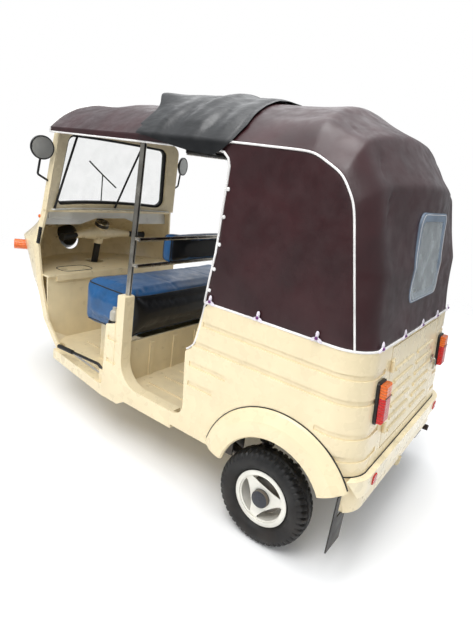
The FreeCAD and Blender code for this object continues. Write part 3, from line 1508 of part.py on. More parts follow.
def build_bumper():
    """Folded channel bumper round the tub's rear corners, open towards the body."""
    low, height = S["bumper_low"], S["bumper_height"]
    depth = S["bumper_depth"]
    sheet = 4
    solid = prism(bumper_plan(0), "xy", low, low + height)
    hollow = prism(bumper_plan(depth), "xy", low - 5, low + height + 5)
    channel = prism(bumper_plan(sheet), "xy", low + sheet, low + height - sheet)
    fender_room = Part.makeCylinder(
        S["fender_outer"] + 2, 1400, Vector(-700, FENDER_Y, S["fender_height"]), Vector(1, 0, 0)
    )
    beam = solid.cut(hollow).cut(channel).cut(fender_room)
    keep("rear_bumper", beam.cut(tub_body(-S["running_gap"], low - 20, low + height + 20, 1400)))


def build_lamps():
    """Tail lamps, front indicators, headlamp, reflectors and the round mirrors."""
    gap = S["running_gap"]
    tilt = math.degrees(door_tilt())
    lamps = []
    for side in (1, -1):
        x = side * S["lamp_spacing"] / 2
        width, depth = S["lamp_width"], S["lamp_depth"]
        low, height = S["lamp_low"], S["lamp_height"]
        foot = Vector(x - width / 2, at(tub_rear(low)) + gap, low)
        lens = Part.makeBox(width, depth, height, foot)
        lens = lens.makeFillet(9, [e for e in lens.Edges if abs(e.BoundBox.YMin - foot.y - depth) < 1e-6])
        lens.rotate(foot, Vector(1, 0, 0), tilt)
        lamps.append(lens)
    for side in (1, -1):
        start = Vector(side * 440, at(10), 806)
        way = Vector(side * 0.8, -0.6, 0)
        lamp = Part.makeCylinder(30, 96, start, way)
        lamps.append(lamp.cut(nose_body(-gap, 0, S["pillar_depth"])))
    keep("lamps", Part.makeCompound(lamps))
    lamp_y = at(-S["front_overhang"])
    lamp_radius = 84 - gap
    bowl = Part.makeCylinder(lamp_radius, 40, Vector(0, lamp_y, 800), Vector(0, 1, 0))
    dome = Part.makeCone(lamp_radius, 60, 30, Vector(0, lamp_y + 40, 800), Vector(0, 1, 0))
    keep("headlamp", bowl.fuse(dome))


def build_mirrors():
    """Round mirrors on bent stalks from the front pillars."""
    solids = []
    for side in (1, -1):
        head = Vector(side * S["mirror_half"], at(S["mirror_station"]), S["mirror_height"])
        facing = Vector(side * 0.25, 1, 0).normalize()
        shell = Part.makeCylinder(S["mirror_radius"], 10, head, facing)
        back = Part.makeCone(S["mirror_radius"] - 24, S["mirror_radius"], 16, head - facing * 16, facing)
        foot = Vector(side * 488, at(262), 1216)
        elbow = Vector(side * 560, at(258), 1252)
        stalk = pipe(
            [tuple_of(foot), tuple_of(elbow), (head.x, head.y - 10, head.z - S["mirror_radius"] + 20)], 6, 14
        )
        solids.append(shell.multiFuse([back, stalk]))
    gap = 0.9
    drop = 40.0
    spread = (S["screen_half_low"] - S["screen_half_high"]) * drop / (S["screen_top"] - S["screen_base"])
    grown = screen_outline(
        S["screen_half_low"] + spread + gap,
        S["screen_half_high"] + gap,
        S["screen_base"] - drop,
        S["screen_top"] + gap,
        0,
        70,
    )
    room = curved_slab(-gap, S["screen_frame_depth"] + 2 * gap).common(
        prism(grown, "xz", at(S["screen_station"]) - 50, at(S["screen_station"]) + 400)
    )
    keep("mirrors", Part.makeCompound([solid.cut(lean_back(room)) for solid in solids]))


def build_small_pieces():
    """Mud flaps and the hand start lever."""
    gap = S["running_gap"]
    flaps = []
    for side in (1, -1):
        x0, x1 = sorted((side * 527, side * 645))
        t0, t1 = sorted((side * 613, side * 645))
        blade = box(x0, x1, at(2286), at(2291), 112, S["tub_bottom"] - gap)
        tab = box(t0, t1, at(2286), at(2291), S["tub_bottom"] - 10, fender_end_height(2286) - gap)
        flaps.append(blade.fuse(tab))
    keep("mud_flaps", Part.makeCompound(flaps))
    x, y, z = S["lever_half"], at(S["lever_station"]), S["driver_sill_top"] + S["lever_rise"]
    tip = Vector(x, y - S["lever_length"], z + 10)
    hub = rod((x - 13, y, z), (x + 13, y, z), 18)
    arm = pipe([(x, y, z), (x, y - 50, z + 26), tuple_of(tip)], 8, 30)
    grip = rod(tuple_of(tip), (x, tip.y + 130, tip.z + 6), 12)
    pin_hole = rod((x - 30, y, z), (x + 30, y, z), LEVER_PIN + gap)
    keep("start_lever", hub.multiFuse([arm, grip]).cut(pin_hole))


def build_all():
    """Builds every sub-part in order."""
    build_tub()
    build_fenders()
    build_side_frames()
    build_floor()
    build_nose()
    build_inner_shield()
    build_windscreen()
    build_front_roof()
    build_rear_hood()
    build_rain_flap()
    build_roof_frame()
    build_poles()
    build_seats()
    build_steering()
    half_track = S["rear_track"] / 2
    build_wheel("front", 0, at(0), 1)
    build_wheel("rear_left", half_track, REAR_AXLE, 1)
    build_wheel("rear_right", -half_track, REAR_AXLE, -1)
    build_running_gear()
    build_chassis()
    build_engine_door()
    build_bumper()
    build_lamps()
    build_mirrors()
    build_small_pieces()


def check_document():
    """Stops if any object failed or any sub-part is empty, open or invalid."""
    DOCUMENT.recompute()
    for thing in DOCUMENT.Objects:
        if "Invalid" in thing.State or "Error" in thing.State:
            raise RuntimeError("object %s failed: %s" % (thing.Label, thing.State))
    for label, feature in NODES.items():
        shape = feature.Shape
        if shape.isNull() or not shape.isValid() or not shape.Solids:
            raise RuntimeError("sub-part %s has no valid solid" % label)


def write_parts():
    """Writes each sub-part's solids to parts/NAME.step and prints its size."""
    os.makedirs("parts", exist_ok=True)
    for label, feature in NODES.items():
        solids = feature.Shape.Solids
        shape = solids[0] if len(solids) == 1 else Part.makeCompound(solids)
        shape.exportStep("parts/%s.step" % label)
        bounds = shape.BoundBox
        print(
            "%-20s solids %d  x %7.1f %7.1f  y %7.1f %7.1f  z %7.1f %7.1f"
            % (label, len(solids), bounds.XMin, bounds.XMax, bounds.YMin, bounds.YMax, bounds.ZMin, bounds.ZMax)
        )


build_all()
check_document()
write_parts()
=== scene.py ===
"""Dresses the auto rickshaw: finishes for every solid, the cloth hood, seats, tread, lamps and small trim."""

import logging
import math
from dataclasses import dataclass
from enum import Enum
from typing import Callable, ClassVar, Sequence

import bmesh
import bpy
import numpy as np
from mathutils import Matrix


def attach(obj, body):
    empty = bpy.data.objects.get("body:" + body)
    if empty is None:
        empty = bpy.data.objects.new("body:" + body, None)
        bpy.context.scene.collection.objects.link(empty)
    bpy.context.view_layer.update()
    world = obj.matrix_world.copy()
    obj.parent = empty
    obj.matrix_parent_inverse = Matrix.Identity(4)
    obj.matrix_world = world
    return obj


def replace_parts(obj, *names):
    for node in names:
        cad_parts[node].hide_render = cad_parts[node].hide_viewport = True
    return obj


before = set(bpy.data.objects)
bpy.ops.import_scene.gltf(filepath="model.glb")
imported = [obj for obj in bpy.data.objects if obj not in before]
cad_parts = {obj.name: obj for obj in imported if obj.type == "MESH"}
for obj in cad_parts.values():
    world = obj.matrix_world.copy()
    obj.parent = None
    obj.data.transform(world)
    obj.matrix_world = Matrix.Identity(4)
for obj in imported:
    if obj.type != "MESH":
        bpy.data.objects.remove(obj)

log = logging.getLogger("auto_rickshaw")
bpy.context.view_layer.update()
FRONT_AXLE = -1.025
REAR_AXLE = 0.950
RIDE = 0.045
AXLE_HEIGHT = 0.161
LIFT = np.array([0.0, 0.0, RIDE])
# Height, before the lift, of the fenders' middle and of the steering axis's lower end
PIVOT_HEIGHT = 0.206

Array = np.ndarray
Colour = tuple[float, float, float]
Socket = bpy.types.NodeSocket


def at(station: float | Array) -> float | Array:
    """Y of a station, which is a distance in metres behind the front axle."""
    return station + FRONT_AXLE


def vec(*values: float) -> Array:
    """A numpy vector of the given numbers."""
    return np.array(values, dtype=float)


# Meshes


@dataclass
class Patch:
    """Points and faces of a surface worked out with numpy."""

    points: Array
    faces: list[Array]

    def __add__(self, other: "Patch") -> "Patch":
        """Both surfaces as one."""
        shift = len(self.points)
        return Patch(np.vstack([self.points, other.points]), self.faces + [f + shift for f in other.faces])

    def mirrored(self) -> "Patch":
        """The same surface on the vehicle's other side."""
        return Patch(self.points * vec(-1, 1, 1), [f[:, ::-1] for f in self.faces])


def joined(patches: Sequence[Patch]) -> Patch:
    """Several surfaces as one."""
    total = patches[0]
    for patch in patches[1:]:
        total = total + patch
    return total


def grid(points: Array, wrap_u: bool = False, wrap_v: bool = False) -> Patch:
    """Quads through a grid of points.

    Args:
        points: Array of shape (rows, columns, 3).
        wrap_u: Joins the last row to the first.
        wrap_v: Joins the last column to the first.

    Returns:
        The surface, whose face (i, j) joins rows i, i + 1 and columns j, j + 1.
    """
    rows, columns = points.shape[:2]
    index = np.arange(rows * columns).reshape(rows, columns)
    if wrap_u:
        index = np.vstack([index, index[:1]])
    if wrap_v:
        index = np.hstack([index, index[:, :1]])
    quads = np.stack([index[:-1, :-1], index[1:, :-1], index[1:, 1:], index[:-1, 1:]], axis=-1)
    return Patch(points.reshape(-1, 3), [quads.reshape(-1, 4)])


def grid_normals(points: Array) -> Array:
    """Unit normals of a grid: the cross product of its row and column differences."""
    normal = np.cross(np.gradient(points, axis=0), np.gradient(points, axis=1))
    return normal / np.maximum(np.linalg.norm(normal, axis=2, keepdims=True), 1e-9)


def slab(points: Array, thickness: float) -> Patch:
    """Gives a grid of points a thickness.

    Args:
        points: Array of shape (rows, columns, 3).
        thickness: How far the copy lies along the grid's normals.

    Returns:
        A closed shell: the grid and its copy, joined round the rim.
    """
    inner = points + grid_normals(points) * thickness
    ring = np.concatenate([points, inner[:, ::-1]], axis=1)
    body = grid(ring, wrap_v=True)
    columns = points.shape[1]
    first = np.arange(columns - 1)
    caps = []
    for row in (0, len(points) - 1):
        start = row * 2 * columns
        last = 2 * columns - 1 - first
        caps.append(start + np.stack([first, first + 1, last - 1, last], axis=1))
    return Patch(body.points, body.faces + caps)


def capped(rings: Array) -> Patch:
    """Tube through rings of points whose two ends close on their middles."""
    ends = [np.repeat(rings[i].mean(axis=0)[None, None], rings.shape[1], axis=1) for i in (0, -1)]
    return grid(np.concatenate([ends[0], rings, ends[1]]), wrap_v=True)


def smooth_line(points: Array, count: int, closed: bool = False) -> Array:
    """Draws a smooth curve through some points.

    Args:
        points: The curve's knots, of shape (n, 3).
        count: Number of points to return.
        closed: The curve runs from its last knot back to its first.

    Returns:
        Points of the uniform Catmull-Rom curve through the knots.
    """
    knots = np.asarray(points, dtype=float)
    if closed:
        padded = np.vstack([knots[-1:], knots, knots[:2]])
        spans = len(knots)
    else:
        padded = np.vstack([2 * knots[:1] - knots[1:2], knots, 2 * knots[-1:] - knots[-2:-1]])
        spans = len(knots) - 1
    where = np.linspace(0, spans, count, endpoint=not closed)
    i = np.minimum(where.astype(int), spans - 1)
    t = (where - i)[:, None]
    a, b, c, d = (padded[i + k] for k in range(4))
    return 0.5 * (2 * b + (c - a) * t + (2 * a - 5 * b + 4 * c - d) * t**2 + (3 * b - a - 3 * c + d) * t**3)


def distinct(line: Array) -> Array:
    """Points of a line without those that lie on the point before."""
    step = np.linalg.norm(np.diff(line, axis=0), axis=1)
    return line[np.concatenate([[True], step > 1e-4])]


def travelled(line: Array) -> Array:
    """Distance gone along a line at each of its points."""
    return np.concatenate([[0], np.cumsum(np.linalg.norm(np.diff(line, axis=0), axis=1))])


def sweep(path: Array, profile: Array, up: Array | Sequence[float], closed: bool = False) -> Patch:
    """Carries a closed profile along a path.

    Args:
        path: Points of the path, of shape (n, 3).
        profile: Points (across, along up) of the profile, of shape (k, 2).
        up: Direction that the profile's second axis leans to, one or one for each point.
        closed: Joins the end of the path to its start.

    Returns:
        The swept surface: point + across * side + height * normal at every point of the path.
    """
    path = np.asarray(path, dtype=float)
    tangent = np.gradient(path, axis=0)
    if closed:
        tangent = np.roll(path, -1, axis=0) - np.roll(path, 1, axis=0)
    tangent /= np.linalg.norm(tangent, axis=1, keepdims=True)
    ups = np.broadcast_to(np.asarray(up, dtype=float), path.shape)
    side = np.cross(tangent, ups)
    side /= np.maximum(np.linalg.norm(side, axis=1, keepdims=True), 1e-9)
    normal = np.cross(side, tangent)
    rings = (
        path[:, None]
        + side[:, None] * profile[None, :, :1]
        + normal[:, None] * profile[None, :, 1:]
    )
    return grid(rings, wrap_u=True, wrap_v=True) if closed else capped(rings)


def circle(radius: float, sides: int, flat: float = 1.0) -> Array:
    """Profile of a circle, squeezed across by the flat factor."""
    turn = np.linspace(0, 2 * math.pi, sides, endpoint=False)
    return np.stack([radius * np.cos(turn), radius * flat * np.sin(turn)], axis=1)


def tube(
    path: Array, radius: float, sides: int = 10, up: Sequence[float] = (0.13, 0.21, 1), closed: bool = False
) -> Patch:
    """Round cord of a radius along a path."""
    return sweep(path, circle(radius, sides), up, closed)


def turned(
    profile: Sequence[Sequence[float]], centre: Array, axis: Array, steps: int = 48, closed: bool = False
) -> Patch:
    """Turns a profile round an axis.

    Args:
        profile: Points (along the axis, radius).
        centre: Point of the axis from which the first numbers are measured.
        axis: Direction of the axis.
        steps: Number of points round the axis.
        closed: Joins the profile's last point to its first.

    Returns:
        The surface centre + along * axis + radius * (cos(a) side + sin(a) other) for a from 0 to a full turn.
    """
    points = np.asarray(profile, dtype=float)
    axis = np.asarray(axis, dtype=float) / np.linalg.norm(axis)
    side = np.cross(axis, vec(0.3, 0.2, 1) if abs(axis[2]) < 0.9 else vec(1, 0, 0))
    side /= np.linalg.norm(side)
    other = np.cross(axis, side)
    turn = np.linspace(0, 2 * math.pi, steps, endpoint=False)[:, None, None]
    around = np.cos(turn) * side + np.sin(turn) * other
    rings = centre + points[None, :, :1] * axis + points[None, :, 1:] * around
    return grid(rings, wrap_u=True, wrap_v=closed)


def block(low: Array, high: Array, radius: float, cells: int = 12) -> Patch:
    """Makes a box with rounded edges.

    Args:
        low: Its lowest corner.
        high: Its highest corner.
        radius: Radius of its edges.
        cells: Grid cells along each side.

    Returns:
        Six grids whose point q moves to clamp(q) + radius * unit(q - clamp(q)), where clamp holds it inside the
        box drawn in by the radius. The outer quarter of the grid's lines is spread over the rounding.
    """
    low, high = np.asarray(low, dtype=float), np.asarray(high, dtype=float)
    middle, half = (low + high) / 2, (high - low) / 2
    span = np.linspace(-1, 1, cells + 1)
    u, v = np.meshgrid(span, span, indexing="ij")
    sides = []
    for axis in range(3):
        for sign in (-1.0, 1.0):
            points = np.empty(u.shape + (3,))
            points[..., axis] = sign
            points[..., (axis + 1) % 3] = u
            points[..., (axis + 2) % 3] = v
            sides.append(grid(points))
    patch = joined(sides)
    room = np.maximum(half - radius, 1e-6)
    share = radius / half
    away = np.abs(patch.points)
    flat, rounding = np.interp(away, [0, 0.75], [0, 1]), np.interp(away, [0.75, 1], [0, 1])
    raw = np.sign(patch.points) * (flat * (1 - share) + rounding * share) * half
    inner = np.clip(raw, -room, room)
    away = raw - inner
    length = np.maximum(np.linalg.norm(away, axis=1, keepdims=True), 1e-9)
    patch.points = middle + inner + away / length * np.minimum(radius, half.min())
    return patch


def extruded(outline: Array, depth: Sequence[float]) -> Patch:
    """Plate: a closed outline of points and its copy moved by a depth vector, each closed on its middle."""
    rings = np.stack([outline, outline + np.asarray(depth, dtype=float)])
    return capped(rings)


def ripple(points: Array, size: float, seed: int) -> Array:
    """Works out a smooth wavy field.

    Args:
        points: Where to work it out.
        size: About how long its waves are.
        seed: Seed of the waves' directions, lengths and starts.

    Returns:
        A sixth of the sum of twelve sine waves at each point.
    """
    rng = np.random.default_rng(seed)
    total = np.zeros(points.shape[:-1])
    for _ in range(12):
        way = rng.normal(size=3)
        way /= np.linalg.norm(way)
        length = size * rng.uniform(0.6, 1.8)
        total += np.sin(points @ way * (2 * math.pi / length) + rng.uniform(0, 2 * math.pi))
    return total / 6.0


# Materials


def linear(colour: Colour) -> tuple[float, float, float, float]:
    """Scene linear colour of an sRGB one, by sRGB's own curve."""
    parts = [c / 12.92 if c <= 0.04045 else ((c + 0.055) / 1.055) ** 2.4 for c in colour]
    return (parts[0], parts[1], parts[2], 1.0)


class Net:
    """Node tree of one material, with short calls that add and link nodes."""

    def __init__(self, name: str) -> None:
        """Starts a material with an output, a shader and object coordinates."""
        self.material = bpy.data.materials.new(name)
        self.material.use_nodes = True
        self.tree = self.material.node_tree
        self.tree.nodes.clear()
        self.output = self.add("OutputMaterial")
        self.shader = self.add("BsdfPrincipled")
        self.link(self.shader.outputs[0], self.output.inputs["Surface"])
        self.place = self.add("TexCoord").outputs["Object"]

    def link(self, source: Socket, target: Socket) -> None:
        """Links two sockets."""
        self.tree.links.new(source, target)

    def add(self, kind: str) -> bpy.types.Node:
        """New shader node of a kind."""
        return self.tree.nodes.new("ShaderNode" + kind)

    def give(self, name: str, value: "Socket | float | Sequence[float]") -> None:
        """Links a socket, or sets a number or colour, on an input of the shader."""
        self.feed(self.shader.inputs[name], value)

    def feed(self, target: Socket, value: "Socket | float | Sequence[float]") -> None:
        """Links a socket, or sets a number or colour, on an input."""
        if isinstance(value, bpy.types.NodeSocket):
            self.link(value, target)
        else:
            target.default_value = value

    def mapped(self, stretch: Sequence[float]) -> Socket:
        """Object coordinates times a scale."""
        node = self.add("Mapping")
        node.inputs["Scale"].default_value = stretch
        self.link(self.place, node.inputs["Vector"])
        return node.outputs[0]

    def noise(
        self,
        size: float,
        detail: float = 3,
        rough: float = 0.55,
        stretch: Sequence[float] = (1, 1, 1),
        warp: float = 0,
    ) -> Socket:
        """Noise whose blobs are about size metres across."""
        node = self.add("TexNoise")
        node.inputs["Scale"].default_value = 1 / size
        node.inputs["Detail"].default_value = detail
        node.inputs["Roughness"].default_value = rough
        node.inputs["Distortion"].default_value = warp
        self.link(self.mapped(stretch), node.inputs["Vector"])
        return node.outputs["Fac"]

    def cells(self, size: float) -> Socket:
        """Distance to the edges of Voronoi cells of a size."""
        node = self.add("TexVoronoi")
        node.feature = "DISTANCE_TO_EDGE"
        node.inputs["Scale"].default_value = 1 / size
        self.link(self.place, node.inputs["Vector"])
        return node.outputs["Distance"]

    def wave(self, size: float, axis: str) -> Socket:
        """Straight waves of a length across X, Y or Z."""
        node = self.add("TexWave")
        node.bands_direction = axis
        node.inputs["Scale"].default_value = 2 * math.pi / (20 * size)
        self.link(self.place, node.inputs["Vector"])
        return node.outputs["Fac"]

    def reckon(self, kind: str, a: "Socket | float", b: "Socket | float") -> Socket:
        """Result of one math node."""
        node = self.add("Math")
        node.operation = kind
        self.feed(node.inputs[0], a)
        self.feed(node.inputs[1], b)
        return node.outputs[0]

    def ranged(
        self, value: Socket, low: float, high: float, out_low: float = 0, out_high: float = 1
    ) -> Socket:
        """Maps a value from one range to another, held at its ends."""
        node = self.add("MapRange")
        self.feed(node.inputs["Value"], value)
        for key, number in (("From Min", low), ("From Max", high), ("To Min", out_low), ("To Max", out_high)):
            node.inputs[key].default_value = number
        return node.outputs[0]

    def blend(
        self, share: "Socket | float", a: "Socket | Sequence[float]", b: "Socket | Sequence[float]"
    ) -> Socket:
        """Mix of two colours."""
        node = self.add("Mix")
        node.data_type = "RGBA"
        self.feed(node.inputs[0], share)
        self.feed(node.inputs[6], a)
        self.feed(node.inputs[7], b)
        return node.outputs[2]

    def part(self, letter: str) -> Socket:
        """X, Y or Z of the object coordinates."""
        node = self.add("SeparateXYZ")
        self.link(self.place, node.inputs[0])
        return node.outputs[letter]

    def stored(self, name: str) -> Socket:
        """Value of a mesh attribute."""
        node = self.add("Attribute")
        node.attribute_name = name
        return node.outputs["Fac"]

    def bump(self, height: Socket, depth: float, strength: float = 1.0) -> None:
        """Bumps the shader's normal by a height of 0 to 1 times a depth in metres."""
        node = self.add("Bump")
        node.inputs["Distance"].default_value = depth
        node.inputs["Strength"].default_value = strength
        self.link(height, node.inputs["Height"])
        earlier = self.shader.inputs["Normal"]
        if earlier.is_linked:
            self.link(earlier.links[0].from_socket, node.inputs["Normal"])
        self.link(node.outputs[0], earlier)


class Grain(Enum):
    """Fine relief of a surface."""

    SMOOTH = "smooth"
    ORANGE_PEEL = "orange peel"
    LEATHER = "leather"
    CRINKLE = "crinkle"
    CAST = "cast"
    BRUSHED = "brushed"
    RUBBER = "rubber"


@dataclass(frozen=True)
class Finish:
    """A painted, coated or moulded surface.

    Its colour varies in broad soft patches, takes dust low down, streaks down its sides and wears to another
    colour in small chips. Its relief is one of the grains.
    """

    name: str
    colour: Colour
    roughness: float
    grain: Grain = Grain.SMOOTH
    grain_size: float = 0.0015
    grain_depth: float = 0.0002
    metallic: float = 0.0
    coat: float = 0.0
    sheen: float = 0.0
    variation: float = 0.06
    patch_size: float = 0.12
    dust: float = 0.0
    dust_top: float = 0.45
    streaks: float = 0.0
    chips: float = 0.0
    chip_colour: Colour = (0.30, 0.20, 0.13)
    dust_colour: Colour = (0.50, 0.42, 0.33)
    made: ClassVar[dict[str, bpy.types.Material]] = {}

    def material(self) -> bpy.types.Material:
        """The finish's material, made once."""
        if self.name not in Finish.made:
            Finish.made[self.name] = self.build()
        return Finish.made[self.name]

    def build(self) -> bpy.types.Material:
        """Builds the material's nodes."""
        net = Net(self.name)
        net.give("Base Color", self.weathered(net, self.base(net)))
        rough = net.noise(0.06, 2)
        spread = 0.06 + self.roughness * 0.12
        low, high = max(0.02, self.roughness - spread), min(1, self.roughness + spread)
        net.give("Roughness", net.ranged(rough, 0.3, 0.7, low, high))
        net.give("Metallic", self.metallic)
        net.give("Coat Weight", self.coat)
        net.give("Coat Roughness", 0.12)
        net.give("Sheen Weight", self.sheen)
        net.give("Sheen Roughness", 0.4)
        self.relief(net)
        return net.material

    def base(self, net: Net) -> Socket:
        """Base colour: the colour, darker and lighter in broad patches."""
        dark = linear(tuple(max(0.0, c * (1 - self.variation)) for c in self.colour))
        light = linear(tuple(min(1.0, c * (1 + self.variation * 0.7) + 0.01) for c in self.colour))
        return net.blend(net.ranged(net.noise(self.patch_size, 2, 0.5), 0.3, 0.7), dark, light)

    def weathered(self, net: Net, colour: Socket) -> Socket:
        """Adds streaks, dust and chips to a colour."""
        if self.streaks:
            runs = net.ranged(net.noise(0.05, 2, 0.5, (1, 1, 0.09)), 0.52, 0.72)
            colour = net.blend(net.reckon("MULTIPLY", runs, self.streaks), colour, linear((0.46, 0.38, 0.27)))
        if self.dust:
            low = net.ranged(net.part("Z"), 0.12, self.dust_top, 1, 0)
            patchy = net.ranged(net.noise(0.07, 2, 0.5), 0.30, 0.66)
            share = net.reckon("MULTIPLY", net.reckon("MULTIPLY", low, patchy), self.dust)
            colour = net.blend(share, colour, linear(self.dust_colour))
        if self.chips:
            spots = net.ranged(net.noise(0.012, 2, 0.5), 0.74 - 0.05 * self.chips, 0.76 - 0.05 * self.chips)
            where = net.ranged(net.noise(0.18, 3), 0.48, 0.62)
            colour = net.blend(net.reckon("MULTIPLY", spots, where), colour, linear(self.chip_colour))
        return colour

    def relief(self, net: Net) -> None:
        """Adds the grain's bump."""
        size, depth = self.grain_size, self.grain_depth
        if self.grain is Grain.ORANGE_PEEL:
            net.bump(net.noise(size, 1), depth)
            net.bump(net.noise(0.30, 2), 0.0025, 0.4)
        elif self.grain is Grain.LEATHER:
            net.bump(net.ranged(net.cells(size), 0, 0.35), depth)
            net.bump(net.noise(size * 6, 3), depth * 2.5, 0.6)
        elif self.grain is Grain.CRINKLE:
            net.bump(net.noise(0.075, 3, 0.5, (1, 0.5, 1), 0.6), 0.008, 0.6)
            net.bump(net.noise(size, 2), depth)
        elif self.grain is Grain.CAST:
            net.bump(net.noise(size, 6, 0.7), depth)
            net.bump(net.noise(0.02, 3), depth * 2, 0.5)
        elif self.grain is Grain.BRUSHED:
            net.bump(net.noise(size, 3, 0.6, (1, 0.08, 1)), depth)
        elif self.grain is Grain.RUBBER:
            net.bump(net.noise(size, 4, 0.6), depth)
            net.bump(net.cells(0.03), depth, 0.4)


@dataclass(frozen=True)
class LampLens(Finish):
    """Ribbed lens: amber in its top part and red below, or one colour."""

    amber: Colour = (0.93, 0.42, 0.06)
    split: float = 10.0

    def base(self, net: Net) -> Socket:
        """Amber above the split height and on the front lamps, red elsewhere, with painted shade between the
        ribs.
        """
        top = net.ranged(net.part("Z"), self.split - 0.001, self.split + 0.001)
        front = net.ranged(net.part("Y"), -0.4, -0.45)
        tint = net.blend(net.reckon("MAXIMUM", top, front), linear(self.colour), linear(self.amber))
        # Painted shade: the colour darkens to a deep red in the grooves between the ribs, where the bump is
        # lowest.
        return net.blend(net.ranged(net.wave(0.011, "Z"), 0, 0.4, 0.35, 0), tint, linear((0.16, 0.02, 0.01)))

    def relief(self, net: Net) -> None:
        """Prism ribs across the lens."""
        net.bump(net.wave(0.011, "Z"), 0.0016)
        net.bump(net.wave(0.007, "X"), 0.0006)


@dataclass(frozen=True)
class Clear(Finish):
    """See-through sheet: part of it lets light straight through, the rest reflects and hazes."""

    alpha: float = 0.3
    waviness: float = 0.0

    def build(self) -> bpy.types.Material:
        """A glossy shader whose alpha is the sheet's haze."""
        net = Net(self.name)
        net.give("Base Color", self.base(net))
        net.give("Roughness", self.roughness)
        net.give("IOR", 1.5)
        haze = net.ranged(net.noise(0.09, 5, 0.62), 0.35, 0.75, self.alpha * 0.7, self.alpha * 1.35)
        net.give("Alpha", haze)
        if self.waviness:
            net.bump(net.noise(0.09, 2), self.waviness)
        return net.material


@dataclass(frozen=True)
class Upholstery(Finish):
    """Coated seat cloth: bright on its top and ends and dark on the faces across the vehicle."""

    bright: Colour = (0.075, 0.345, 0.56)

    def base(self, net: Net) -> Socket:
        """Bright where the mesh's panel attribute is 1 and the base colour where it is 0."""
        panel = net.stored("panel")
        worn = net.ranged(net.noise(0.09, 4), 0.35, 0.7)
        dull = tuple(c * 0.85 for c in self.bright)
        bright = net.blend(worn, linear(self.bright), linear(dull))
        return net.blend(panel, super().base(net), bright)


